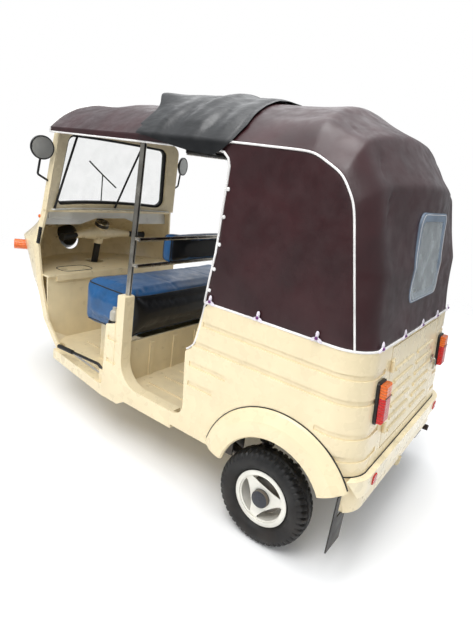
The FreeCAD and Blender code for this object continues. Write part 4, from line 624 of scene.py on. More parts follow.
class Finishes:
    """Every finish of the vehicle."""

    CREAM = Finish(
        "cream enamel", (0.935, 0.868, 0.715), 0.30, Grain.ORANGE_PEEL, 0.0022, 0.00002, coat=0.3,
        variation=0.012, dust=0.16, dust_top=0.40,
    )
    CREAM_INSIDE = Finish(
        "cream enamel inside", (0.915, 0.850, 0.70), 0.36, Grain.ORANGE_PEEL, 0.0022, 0.00002, coat=0.15,
        variation=0.025, dust=0.28, dust_top=0.46, streaks=0.05,
    )
    DOOR = Finish(
        "engine door enamel", (0.93, 0.865, 0.71), 0.32, Grain.SMOOTH, coat=0.25, variation=0.02,
        dust=0.15, dust_top=0.62, streaks=0.06,
    )
    BUMPER = Finish("bumper enamel", (0.95, 0.895, 0.755), 0.30, Grain.SMOOTH, coat=0.3, dust=0.10)
    BLACK = Finish(
        "chassis black", (0.055, 0.052, 0.05), 0.5, Grain.ORANGE_PEEL, 0.003, 0.0001, coat=0.15, dust=0.6,
        chips=1.2,
        chip_colour=(0.27, 0.15, 0.09),
    )
    HOOD = Finish(
        "hood leathercloth", (0.190, 0.068, 0.080), 0.38, Grain.LEATHER, 0.0028, 0.00012, variation=0.12,
        coat=0.05, patch_size=0.16,
    )
    TARP = Finish(
        "rain tarpaulin", (0.022, 0.028, 0.038), 0.38, Grain.CRINKLE, 0.0012, 0.00005, coat=0.12,
        variation=0.10,
    )
    SEAT = Upholstery(
        "seat leathercloth", (0.035, 0.040, 0.062), 0.40, Grain.LEATHER, 0.0026, 0.00018, variation=0.15,
        sheen=0.1,
    )
    PIPING = Finish("white piping", (0.93, 0.92, 0.91), 0.42, Grain.LEATHER, 0.0016, 0.0001, variation=0.08)
    PLASTIC_WHITE = Finish("white plastic", (0.86, 0.86, 0.84), 0.36, Grain.ORANGE_PEEL, 0.002, 0.00004)
    CLIP = Finish(
        "white plastic petals", (0.93, 0.90, 0.94), 0.35, Grain.ORANGE_PEEL, 0.003, 0.0001, variation=0.05,
    )
    CLIP_HEART = Finish(
        "purple plastic", (0.42, 0.16, 0.46), 0.35, Grain.ORANGE_PEEL, 0.003, 0.0001, variation=0.1,
    )
    GLASS = Clear("windscreen glass", (0.62, 0.74, 0.66), 0.05, alpha=0.08)
    CLEAR = Clear("hood window plastic", (0.80, 0.83, 0.84), 0.16, alpha=0.42, waviness=0.004)
    BORDER = Finish(
        "window border cloth", (0.47, 0.53, 0.60), 0.45, Grain.LEATHER, 0.002, 0.0002, variation=0.08,
    )
    RUBBER = Finish("black rubber", (0.045, 0.044, 0.043), 0.55, Grain.RUBBER, 0.002, 0.00015, dust=0.35)
    TYRE = Finish(
        "tyre rubber", (0.028, 0.028, 0.029), 0.60, Grain.RUBBER, 0.0025, 0.0002, dust=0.25, dust_top=0.40,
        dust_colour=(0.25, 0.20, 0.16),
    )
    GRIP = Finish("grip rubber", (0.035, 0.035, 0.036), 0.5, Grain.RUBBER, 0.0015, 0.0001)
    CHROME = Finish(
        "chromed tube", (0.70, 0.68, 0.64), 0.22, Grain.BRUSHED, 0.01, 0.00003, metallic=1.0, chips=1.0,
        chip_colour=(0.34, 0.22, 0.14), variation=0.12,
    )
    DAMPER = Finish(
        "damper steel", (0.30, 0.30, 0.31), 0.4, Grain.BRUSHED, 0.01, 0.00005, metallic=0.8, dust=0.5,
    )
    ENGINE = Finish(
        "cast engine metal", (0.40, 0.39, 0.37), 0.55, Grain.CAST, 0.004, 0.0004, metallic=0.5, variation=0.2,
        dust=0.7,
    )
    WHEEL = Finish(
        "wheel enamel", (0.93, 0.92, 0.88), 0.32, Grain.ORANGE_PEEL, 0.002, 0.00006, coat=0.25, dust=0.18,
        dust_top=0.40, variation=0.03,
    )
    HUB = Finish("hub cap enamel", (0.05, 0.07, 0.13), 0.3, Grain.ORANGE_PEEL, 0.002, 0.00005, coat=0.3)
    BLACK_PLASTIC = Finish("black plastic", (0.04, 0.04, 0.042), 0.42, Grain.ORANGE_PEEL, 0.0015, 0.00008)
    LENS = LampLens("tail lamp lens", (0.80, 0.03, 0.015), 0.22, coat=0.35, split=0.752, variation=0.03)
    REFLECTOR = LampLens("red reflector", (0.78, 0.03, 0.02), 0.2, coat=0.35, variation=0.03)
    HEADLAMP = Finish(
        "headlamp shell and glass", (0.78, 0.80, 0.80), 0.14, metallic=0.75, coat=0.5, variation=0.04,
    )
    FLAP = Finish(
        "mud flap rubber", (0.018, 0.018, 0.019), 0.5, Grain.RUBBER, 0.003, 0.0002, dust=0.12, dust_top=0.35,
    )
    BOTTLE = Finish(
        "bottle plastic", (0.70, 0.68, 0.63), 0.35, Grain.ORANGE_PEEL, 0.003, 0.0001, variation=0.12,
    )
    DIAL = Finish("dial face", (0.05, 0.05, 0.055), 0.25, coat=0.5)
    MIRROR = Finish("mirror glass", (0.80, 0.80, 0.78), 0.12, metallic=0.7, variation=0.01)
    SILENCER = Finish(
        "rusty silencer", (0.24, 0.19, 0.16), 0.7, Grain.CAST, 0.005, 0.0004, metallic=0.3, variation=0.3,
        chips=2.0,
    )


# Finish of each CAD node
NODE_FINISHES: dict[Finish, tuple[str, ...]] = {
    Finishes.CREAM: (
        "side_panels", "rear_frame", "fenders", "side_frames", "nose_panel", "windscreen_frame",
        "front_mudguard", "handlebar_cover",
    ),
    Finishes.CREAM_INSIDE: ("floor_pan", "inner_panel", "seat_bases"),
    Finishes.DOOR: ("engine_door",),
    Finishes.BUMPER: ("rear_bumper",),
    Finishes.PLASTIC_WHITE: ("dash_panel",),
    Finishes.RUBBER: ("windscreen_seal",),
    Finishes.GLASS: ("windscreen_glass",),
    Finishes.HOOD: ("front_roof", "rear_hood"),
    Finishes.CLEAR: ("rear_window",),
    Finishes.TARP: ("rain_flap",),
    Finishes.BLACK: ("roof_frame", "fork", "trailing_arms", "chassis_frame"),
    Finishes.CHROME: ("pole_frame", "control_levers"),
    Finishes.SEAT: ("seat_cushions", "backrests"),
    Finishes.DAMPER: ("front_damper", "rear_dampers"),
    Finishes.BLACK_PLASTIC: ("instrument", "mirrors", "start_lever"),
    Finishes.GRIP: ("grips",),
    Finishes.TYRE: ("tyre_front", "tyre_rear_left", "tyre_rear_right"),
    Finishes.WHEEL: ("wheel_front", "wheel_rear_left", "wheel_rear_right"),
    Finishes.ENGINE: ("engine_block",),
    Finishes.SILENCER: ("exhaust",),
    Finishes.LENS: ("lamps",),
    Finishes.HEADLAMP: ("headlamp",),
    Finishes.FLAP: ("mud_flaps",),
}


def dress_nodes() -> None:
    """Gives every CAD node its finish."""
    for finish, names in NODE_FINISHES.items():
        for name in names:
            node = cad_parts[name]
            if not node.material_slots:
                node.data.materials.append(finish.material())
            for slot in node.material_slots:
                slot.material = finish.material()
    log.info("dressed %d solids", sum(len(names) for names in NODE_FINISHES.values()))


def make_piece(
    name: str,
    patch: Patch,
    finish: Finish,
    body: str,
    closed: bool = True,
    sharp_deg: float = 40,
    panel: Callable[[Array, Array], Array] | None = None,
) -> bpy.types.Object:
    """Makes a mesh object from a surface and lets it ride on a body.

    Args:
        name: Name of the piece.
        patch: Its surface.
        finish: Its finish.
        body: The CAD body that it moves with.
        closed: The surface is a closed shell, so its normals are turned outwards.
        sharp_deg: Edges sharper than this stay sharp.
        panel: Works out the panel attribute from the points and normals.

    Returns:
        The new object, at the origin.
    """
    mesh = bpy.data.meshes.new(name)
    points = patch.points + LIFT
    mesh.from_pydata(points.tolist(), [], [face for faces in patch.faces for face in faces.tolist()])
    work = bmesh.new()
    work.from_mesh(mesh)
    bmesh.ops.remove_doubles(work, verts=work.verts, dist=2e-5)
    bmesh.ops.dissolve_degenerate(work, edges=work.edges, dist=1e-6)
    if closed:
        bmesh.ops.recalc_face_normals(work, faces=work.faces)
    work.to_mesh(mesh)
    work.free()
    mesh.polygons.foreach_set("use_smooth", np.ones(len(mesh.polygons), dtype=bool))
    mesh.set_sharp_from_angle(angle=math.radians(sharp_deg))
    mesh.materials.append(finish.material())
    piece = bpy.data.objects.new(name, mesh)
    bpy.context.scene.collection.objects.link(piece)
    if panel:
        store_panel(piece, panel)
    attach(piece, body)
    log.info("%s: %d faces on %s", name, len(mesh.polygons), body)
    return piece


def make_pair(name: str, left: Patch, finish: Finish, sharp_deg: float = 40) -> None:
    """Makes one piece of the body from a surface and its mirror image.

    Args:
        name: Name of the piece.
        left: The surface on the left side.
        finish: Its finish.
        sharp_deg: Edges sharper than this stay sharp.
    """
    make_piece(name, left + left.mirrored(), finish, "body", sharp_deg=sharp_deg)


def mesh_points(mesh: bpy.types.Mesh) -> Array:
    """Places of a mesh's vertices, of shape (n, 3)."""
    points = np.empty(len(mesh.vertices) * 3)
    mesh.vertices.foreach_get("co", points)
    return points.reshape(-1, 3)


def store_panel(piece: bpy.types.Object, panel: Callable[[Array, Array], Array]) -> None:
    """Stores the panel attribute on a mesh.

    Args:
        piece: The mesh's object.
        panel: Works out the attribute from the points and normals.
    """
    mesh = piece.data
    normals = np.empty(len(mesh.vertices) * 3)
    mesh.vertex_normals.foreach_get("vector", normals)
    values = panel(mesh_points(mesh), normals.reshape(-1, 3))
    old = mesh.attributes.get("panel")
    if old:
        mesh.attributes.remove(old)
    mesh.attributes.new("panel", "FLOAT", "POINT").data.foreach_set("value", values.astype(np.float32))


def solidify(piece: bpy.types.Object, thickness: float) -> None:
    """Gives a sheet its thickness, inwards from its surface."""
    wall = piece.modifiers.new("wall", "SOLIDIFY")
    wall.thickness = thickness
    wall.offset = -1
    wall.use_rim = True


def mesh_area(piece: bpy.types.Object) -> float:
    """Area of a mesh's faces in square metres."""
    areas = np.empty(len(piece.data.polygons))
    piece.data.polygons.foreach_get("area", areas)
    return float(areas.sum())


# Hood


# A bow's seam (station, height), corner (x, station, height), crown (station, height) and bulge
Hoop = tuple[tuple[float, float], tuple[float, float, float], tuple[float, float], float]


def arc_points(a: Array, b: Array, c: Array, share: Array) -> Array:
    """Draws the circle through three points.

    Args:
        a: Point at share 0.
        b: Point that the arc passes.
        c: Point at share 1.
        share: Shares at which to return points.

    Returns:
        For each share, a turned by that share of the whole angle about the triangle's normal, round its
        circumcentre.
    """
    ab, ac = b - a, c - a
    normal = np.cross(ab, ac)
    size = normal @ normal
    centre = a + (np.cross(normal, ab) * (ac @ ac) + np.cross(ac, normal) * (ab @ ab)) / (2 * size)
    first = a - centre
    side = np.cross(normal / math.sqrt(size), first)
    last = c - centre
    angle = math.atan2(last @ side, last @ first) % (2 * math.pi)
    turn = np.asarray(share)[:, None] * angle
    return centre + np.cos(turn) * first + np.sin(turn) * side


@dataclass
class RearHood:
    """Rear hood of coated cloth: one curved sheet over the roof, its sides and its back, with piped seams."""

    half: float = 0.592
    belt_half: float = 0.610
    spring: float = 1.515
    crest: float = 1.742
    belt: float = 0.8803
    break_station: float = 1.300
    pivot_station: float = 1.700
    pivot_height: float = 1.150
    doorway_height: float = 1.480
    doorway_run: float = 0.223
    doorway_radius: float = 0.060
    doorway_drop: float = 0.025
    corner_half: float = 0.480
    corner_radius: float = 0.130
    corner_turn_deg: float = 33.0
    rear_station: float = 2.272
    window_half: float = 0.190
    window_low: float = 1.030
    window_high: float = 1.340
    thickness: float = 0.002
    row_pitch: float = 0.014
    sag: float = 0.008
    panel_columns: int = 26
    bow_passes: int = 4
    soft_passes: int = 24
    across_passes: int = 14
    seam_cord: float = 0.0040
    hem_cord: float = 0.0050
    flat_length: float = 1.85
    flat_ease: float = 1.25
    stud_heights: tuple[float, ...] = (1.345, 1.235, 1.13, 1.03, 0.94)
    clip_shares: tuple[float, ...] = (
        0.012, 0.105, 0.205, 0.305, 0.400, 0.500, 0.600, 0.695, 0.795, 0.895, 0.988,
    )
    hoops: tuple[Hoop, ...] = (
        ((1.926, 1.512), (0.430, 1.896, 1.650), (1.850, 1.742), 0.030),
        ((2.046, 1.452), (0.445, 2.060, 1.582), (2.088, 1.634), 0.034),
        ((2.106, 1.366), (0.450, 2.158, 1.432), (2.224, 1.462), 0.036),
        ((2.157, 1.150), (0.475, 2.236, 1.150), (2.243, 1.150), 0.032),
    )
    # row, share of the half width, length, width and depth of each crease
    creases: tuple[tuple[float, float, float, float, float], ...] = (
        (2.50, 0.56, 0.20, 0.020, 0.004), (3.45, 0.56, 0.20, 0.022, 0.005), (4.12, 0.58, 0.10, 0.030, 0.005),
        (4.30, 0.60, 0.08, 0.030, 0.004),
    )
    # station and height of the hem at each section
    hem_marks: tuple[tuple[float, float], ...] = (
        (1.300, 1.480), (1.583, 1.395), (1.580, 1.290), (1.579, 1.180), (1.576, 1.090), (1.564, 0.985),
        (1.556, 0.8803),
    )

    def arch(self, x: float) -> float:
        """Height of the roof's arch at x: the circle through both springs and the crest."""
        rise = self.crest - self.spring
        radius = (self.half**2 + rise**2) / (2 * rise)
        return self.crest - radius + math.sqrt(radius**2 - x**2)

    def lean(self, z: Array | float) -> Array | float:
        """Half width of the hood's side at a height."""
        return self.half + (self.spring - z) * (self.belt_half - self.half) / (self.spring - self.belt)

    def marks(self) -> list[tuple[Array, Array, Array, Array]]:
        """Seam, side, corner and crown points of each section of the strip."""
        found = []
        corner_x = 0.420
        side_x = (corner_x + self.half) / 2
        for foot, shoulder, crown in ((self.break_station, 1.300, 1.300), (1.640, 1.550, 1.450)):
            found.append(
                (
                    vec(self.half, at(foot), self.spring),
                    vec(side_x, at((foot + shoulder) / 2), self.arch(side_x)),
                    vec(corner_x, at(shoulder), self.arch(corner_x)),
                    vec(0, at(crown), self.crest),
                )
            )
        pivot = vec(0, at(self.pivot_station), self.pivot_height)
        for (seam_station, seam_z), (x, station, z), (crown_station, crown_z), bulge in self.hoops:
            seam = vec(self.lean(seam_z), at(seam_station), seam_z)
            corner = vec(x, at(station), z)
            radial = (corner - pivot) * vec(0, 1, 1)
            out = radial / np.linalg.norm(radial) + vec(0.9, 0, 0)
            side = (seam + corner) / 2 + out / np.linalg.norm(out) * bulge
            found.append((seam, side, corner, vec(0, at(crown_station), crown_z)))
        half, radius, rear = self.corner_half, self.corner_radius, at(self.rear_station)
        diagonal = radius * math.sin(math.radians(45))
        turned_in = math.radians(self.corner_turn_deg)
        foot = vec(half + radius * math.cos(turned_in), rear - radius * (1 - math.sin(turned_in)), self.belt)
        corner = vec(half, rear, self.belt)
        side = vec(half + diagonal, rear - radius + diagonal, self.belt)
        found.append((foot, side, corner, vec(0, rear + 0.003, self.belt)))
        return found

    def section(self, marks: tuple[Array, Array, Array, Array]) -> Array:
        """Draws the left half of one section.

        Args:
            marks: Its seam, side, corner and crown points.

        Returns:
            Points from the seam to the crown, one of them at the window's edge.
        """
        seam, side, corner, crown = marks
        turn = arc_points(seam, side, corner, np.linspace(0, 1, 19))
        beside = np.linspace(corner[0], self.window_half, 14)[1:]
        behind = np.linspace(self.window_half, 0, 11)[1:]
        x = np.concatenate([beside, behind])
        drop = corner * vec(0, 1, 1) - crown
        depth = np.linalg.norm(drop)
        radius = (corner[0] ** 2 + depth**2) / (2 * depth)
        fall = radius - np.sqrt(radius**2 - x**2)
        middle = crown + fall[:, None] * (drop / depth) + x[:, None] * vec(1, 0, 0)
        return np.vstack([turn, middle])

    def rows(self) -> tuple[Array, Array]:
        """Places of the grid's rows, as section numbers with shares, and of the window's two rows."""
        marks = self.marks()
        crowns = np.array([m[3] for m in marks])
        places = [0.0]
        for bay, length in enumerate(np.linalg.norm(np.diff(crowns, axis=0), axis=1)):
            count = max(4, round(length / self.row_pitch))
            places.extend(bay + np.arange(1, count + 1) / count)
        window = np.interp([-self.window_high, -self.window_low], -crowns[3:, 2], np.arange(3, len(crowns)))
        rows = np.array(places)
        for place in window:
            rows[np.argmin(np.abs(rows - place))] = place
        return rows, window

    def strip(self, rows: Array) -> Array:
        """Makes the strip that runs over the roof and down the back.

        Args:
            rows: Places of its rows along the sections.

        Returns:
            Its grid: straight from section to section, softened at the bows and sagging between them.
        """
        halves = np.array([self.section(m) for m in self.marks()])
        full = np.concatenate([halves, halves[:, -2::-1] * vec(-1, 1, 1)], axis=1)
        bay = np.minimum(rows.astype(int), len(full) - 2)
        share = (rows - bay)[:, None, None]
        points = full[bay] * (1 - share) + full[bay + 1] * share
        for _ in range(self.bow_passes):
            points[1:-1] = points[1:-1] * 0.5 + (points[:-2] + points[2:]) * 0.25
        crisp = points.copy()
        for _ in range(self.soft_passes - self.bow_passes):
            points[1:-1] = points[1:-1] * 0.5 + (points[:-2] + points[2:]) * 0.25
        place = np.linspace(-1, 1, points.shape[1])
        edge = np.clip((np.abs(place) - 0.55) / 0.45, 0, 1)[None, :, None]
        points = crisp * (1 - edge) + points * edge
        for _ in range(self.across_passes):
            points[:, 1:-1] = points[:, 1:-1] * 0.5 + (points[:, :-2] + points[:, 2:]) * 0.25
        across = np.cos(place * math.pi / 2)[None, :] ** 0.6
        f = share[..., 0]
        dip = self.sag * 4 * f * (1 - f) * across
        normals = grid_normals(points)
        inward = np.sign(normals[len(normals) // 4, normals.shape[1] // 2, 2])
        wrinkle = ripple(points, 0.16, 5) * 0.0010 * across
        for row, column, length, width, depth in self.creases:
            along = (rows[:, None] - row) / length
            aside = (np.abs(place)[None, :] - column - along * 0.035) / width
            wrinkle = wrinkle + depth * np.exp(-(along**2) - aside**2) * np.cos(aside * 2.2)
        return points - normals * inward * (dip + wrinkle)[..., None]

    def hem(self, rows: Array) -> Array:
        """Draws the lower front edge of the side panel.

        Args:
            rows: Places of the strip's rows along the sections.

        Returns:
            The station and height of the edge at each row.
        """
        marks = np.array(self.hem_marks)
        line = np.stack([np.interp(rows, np.arange(len(marks)), marks[:, i]) for i in (0, 1)], axis=1)
        first = rows < 1
        share = rows[first]
        run, radius = self.doorway_run, self.doorway_radius
        length = run + radius * math.pi / 2 + self.doorway_drop
        gone = share * length
        turn = np.clip((gone - run) / radius, 0, math.pi / 2)
        fall = np.maximum(gone - run - radius * math.pi / 2, 0)
        line[first, 0] = self.break_station + np.minimum(gone, run) + radius * np.sin(turn)
        line[first, 1] = self.doorway_height - radius * (1 - np.cos(turn)) - fall
        return line

    def sheet_grid(self) -> tuple[Array, Array, Array]:
        """Whole hood as one grid: left side panel, strip and right side panel.

        Returns:
            The grid, the places of its rows and the places of the window's two rows.
        """
        rows, window = self.rows()
        strip = self.strip(rows)
        hem = self.hem(rows)
        low = np.stack([self.lean(hem[:, 1]), at(hem[:, 0]), hem[:, 1]], axis=1)
        share = np.linspace(0, 1, self.panel_columns)[None, :, None]
        side = low[:, None] * (1 - share) + strip[:, :1] * share
        side[..., 0] = self.lean(side[..., 2])
        radius, top = self.corner_radius, self.pivot_height
        past_corner = np.clip(side[..., 1] - at(self.rear_station - radius), 0, radius - 0.001)
        near_belt = np.clip((top - side[..., 2]) / (top - self.belt), 0, 1)
        side[..., 0] -= (radius - np.sqrt(radius**2 - past_corner**2)) * near_belt
        slack = np.sin(np.linspace(0, math.pi, self.panel_columns))[None, :]
        broad, fine = ripple(side, 0.34, 9), ripple(side * vec(1, 1, 0.35), 0.09, 3)
        side[..., 0] += (broad * 0.0035 + fine * 0.0010) * slack
        side[..., 0] -= 0.003 * slack
        whole = np.concatenate([side[:, :-1], strip, side[:, -2::-1] * vec(-1, 1, 1)], axis=1)
        return whole, rows, window

    def build(self) -> None:
        """Makes the cloth, its piping, its studs, the window's border and the flower clips on the hem."""
        whole, rows, window = self.sheet_grid()
        patch = grid(whole)
        centres = (whole[:-1, :-1] + whole[1:, :-1] + whole[:-1, 1:] + whole[1:, 1:]) / 4
        middles = (rows[:-1] + rows[1:]) / 2
        hole = (
            (np.abs(centres[..., 0]) < self.window_half)
            & (middles[:, None] > window[0])
            & (middles[:, None] < window[1])
            & (centres[..., 1] > at(2.0))
        )
        patch.faces = [patch.faces[0][~hole.reshape(-1)][:, ::-1]]
        cloth = make_piece(
            "hood_cloth", patch, Finishes.HOOD, "body", closed=False, sharp_deg=70
        )
        if cloth.data.polygons[5].normal.x < 0:
            cloth.data.flip_normals()
        solidify(cloth, self.thickness)
        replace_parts(cloth, "rear_hood")
        self.build_piping(whole)
        self.build_studs(whole)
        self.build_border(whole)
        self.build_clips(whole)
        area = mesh_area(cloth)

    def build_piping(self, whole: Array) -> None:
        """White cord along the side seams and all round the hem."""
        seam = self.panel_columns - 1
        out = vec(0.001, 0, 0)
        cords = [
            tube(whole[:, seam] + out, self.seam_cord, 8), tube(whole[:, -1 - seam] - out, self.seam_cord, 8),
        ]
        hem = distinct(np.vstack([whole[:-1, 0], whole[-1], whole[-2::-1, -1]]))
        cords.append(tube(hem + vec(0, 0, 0.002), self.hem_cord, 8))
        make_piece("hood_piping", joined(cords), Finishes.PIPING, "body")

    def build_studs(self, whole: Array) -> None:
        """Press studs up the front edges."""
        dome = [(0, 0.008), (0.003, 0.0075), (0.0055, 0.004), (0.006, 0.0)]
        studs = []
        for z in self.stud_heights:
            row = int(np.argmin(np.abs(whole[:, 0, 2] - z)))
            studs.append(turned(dome, whole[row, 0] + vec(0.001, 0.012, 0), vec(1, 0, 0), 16))
        make_pair("hood_studs", joined(studs), Finishes.PIPING)

    def build_border(self, whole: Array) -> None:
        """Flat cloth border round the rear window, a ring between two rounded outlines on the hood's back."""
        middle = whole[:, whole.shape[1] // 2]
        back = middle[:, 1] > at(2.05)
        order = np.argsort(middle[back][:, 2])
        heights, depths = middle[back][order][:, 2], middle[back][order][:, 1]
        outer = rounded_outline(0.212, 1.008, 1.362, 0.045, 0.012)
        inner = rounded_outline(0.178, 1.042, 1.328, 0.030, 0.012)
        share = np.linspace(0, 1, 5)[:, None, None]
        flat = outer[None] * (1 - share) + inner[None] * share
        y = np.interp(flat[..., 1], heights, depths) - (flat[..., 0] ** 2) * 0.02
        crown = 0.0016 + 0.0012 * np.sin(np.linspace(0, math.pi, 5))[:, None]
        front = np.stack([flat[..., 0], y + crown, flat[..., 1]], axis=-1)
        rear = front - vec(0, 0.0065, 0) - crown[..., None] * vec(0, 1, 0)
        ring = np.concatenate([front, rear[::-1]], axis=0)
        band = grid(ring, wrap_u=True, wrap_v=True)
        make_piece("window_border", band, Finishes.BORDER, "body")
        stitch = outer * 0.8 + inner * 0.2
        y = np.interp(stitch[:, 1], heights, depths) - stitch[:, 0] ** 2 * 0.02 + 0.0042
        path = np.stack([stitch[:, 0], y, stitch[:, 1]], axis=1)
        thread = tube(path, 0.0009, 6, (0, 1, 0.1), True)
        make_piece("window_stitch", thread, Finishes.PIPING, "body")

    def build_clips(self, whole: Array) -> None:
        """Small flower shaped clips that hold the hem to the belt."""
        foot = whole[-1]
        length = travelled(foot)
        clips, hearts = [], []
        total = length[-1]
        for share in self.clip_shares:
            place = np.array([np.interp(share * total, length, foot[:, i]) for i in range(3)])
            ahead = np.array([np.interp(share * total + 0.01, length, foot[:, i]) for i in range(3)])
            run = (ahead - place) / max(1e-6, np.linalg.norm(ahead - place))
            out = np.cross(run, vec(0, 0, 1))
            out = out / np.linalg.norm(out)
            out = out if out @ (place - vec(0, at(1.7), place[2])) > 0 else -out
            place = place + vec(0, 0, 0.014)
            clips.append(petal_clip(place + out * 0.003, run, out))
            heart = [(0.006, 0.0), (0.006, 0.0065), (0.010, 0.0055), (0.0125, 0.003), (0.013, 0.0)]
            hearts.append(turned(heart, place + out * 0.003, out, 14))
        make_piece("hood_clips", joined(clips), Finishes.CLIP, "body")
        make_piece("hood_clip_hearts", joined(hearts), Finishes.CLIP_HEART, "body")


def rounded_outline(half: float, low: float, high: float, radius: float, taper: float) -> Array:
    """Draws a rounded window's outline.

    Args:
        half: Half its width.
        low: Height of its foot.
        high: Height of its top.
        radius: Radius of its corners.
        taper: How much narrower each half is at the top.

    Returns:
        Points (x, z) at even distances round it.
    """
    corners = []
    turn = np.linspace(0, math.pi / 2, 9)
    for cx, cz, start in (
        (half - radius, low + radius, -math.pi / 2), (half - radius, high - radius, 0),
        (-half + radius, high - radius, math.pi / 2), (-half + radius, low + radius, math.pi),
    ):
        angle = start + turn
        corners.append(np.stack([cx + radius * np.cos(angle), cz + radius * np.sin(angle)], axis=1))
    line = np.vstack(corners)
    closed = np.vstack([line, line[:1]])
    length = travelled(closed)
    where = np.linspace(0, length[-1], 160, endpoint=False)
    line = np.stack([np.interp(where, length, closed[:, i]) for i in (0, 1)], axis=1)
    share = (line[:, 1] - low) / (high - low)
    line[:, 0] *= 1 - share * taper / half
    return line


def petal_clip(place: Array, run: Array, out: Array) -> Patch:
    """Makes a three petalled clip with one petal up.

    Args:
        place: Its middle.
        run: Direction across it.
        out: Direction that it faces.

    Returns:
        A domed shell of the radius 0.026 (0.28 + 0.72 ((1 + cos 3(a - 90)) / 2)^1.6).
    """
    turn = np.linspace(0, 2 * math.pi, 60, endpoint=False)
    reach = 0.026 * (0.28 + 0.72 * ((1 + np.cos(3 * (turn - math.pi / 2))) / 2) ** 1.6)
    across = np.cos(turn)[:, None] * run + np.sin(turn)[:, None] * vec(0, 0, 1)
    rings = [
        place + (reach * share)[:, None] * across + out * height
        for share, height in ((1.0, 0.001), (1.02, 0.003), (0.75, 0.007), (0.35, 0.0055), (0.2, 0.006))
    ]
    return capped(np.array(rings))


@dataclass
class FrontRoof:
    """Cloth over the driver's space, stretched from the windscreen back, with short side flaps and piping."""

    front_half: float = 0.528
    rear_half: float = 0.592
    front_spring: float = 1.503
    rear_spring: float = 1.515
    front_crest: float = 1.680
    rear_crest: float = 1.738
    valance: float = 1.480
    start: float = 0.150
    stop: float = 1.300
    bow_radius: float = 1.050
    bow_front: float = 0.186
    bows: tuple[float, ...] = (0.186, 0.620, 1.062, 1.300)
    sag: float = 0.009
    cord: float = 0.0042
    thickness: float = 0.002
    flat_length: float = 1.10
    flat_ease: float = 1.08

    def cloth(self, rows: int = 60, columns: int = 57) -> Array:
        """Grid from the curved front edge back: side flap, arch and side flap in each row."""
        share = np.linspace(0, 1, rows)[:, None]
        across = np.linspace(-1, 1, columns)[None, :]
        x = across * self.front_half
        for _ in range(3):
            edge = self.bow_front + self.bow_radius - np.sqrt(np.maximum(self.bow_radius**2 - x**2, 0))
            station = edge + (self.stop - edge) * share
            gone = (station - self.start) / (self.stop - self.start)
            half = self.front_half + gone * (self.rear_half - self.front_half)
            x = half * np.sin(across * math.pi / 2 * 0.985) / math.sin(math.pi / 2 * 0.985)
        spring = self.front_spring + gone * (self.rear_spring - self.front_spring)
        crest = self.front_crest + gone * (self.rear_crest - self.front_crest)
        rise = crest - spring
        radius = (half**2 + rise**2) / (2 * rise)
        z = crest - radius + np.sqrt(np.maximum(radius**2 - x**2, 0))
        top = np.stack([x, at(station), z], axis=-1)
        bay = np.interp(station, self.bows, np.arange(len(self.bows)))
        f = bay - np.floor(bay)
        top[..., 2] -= self.sag * 4 * f * (1 - f) * np.cos(across * math.pi / 2)
        top[..., 2] += ripple(top * vec(1, 0.6, 1), 0.22, 21) * 0.0028 * np.cos(across * math.pi / 2)
        flap = []
        for side in (0, -1):
            edge_line = top[:, side]
            steps = np.linspace(1, 0, 5)[:-1, None, None]
            low = edge_line * vec(1, 1, 0) + vec(0, 0, self.valance)
            flap.append((low[None] * steps + edge_line[None] * (1 - steps)).transpose(1, 0, 2))
        return np.concatenate([flap[0], top, flap[1][:, ::-1]], axis=1)

    def build(self) -> None:
        """Makes the cloth and the piping round its front and side edges."""
        points = self.cloth()
        cloth = make_piece(
            "roof_cloth", grid(points), Finishes.HOOD, "body", closed=False, sharp_deg=75
        )
        middle = cloth.data.polygons[len(cloth.data.polygons) // 2]
        if middle.normal.z < 0:
            cloth.data.flip_normals()
        solidify(cloth, self.thickness)
        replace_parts(cloth, "front_roof")
        area = mesh_area(cloth)
        edge = distinct(np.vstack([points[::-1, 0], points[0], points[:, -1]]))
        make_piece("roof_piping", tube(edge, self.cord, 8), Finishes.PIPING, "body")


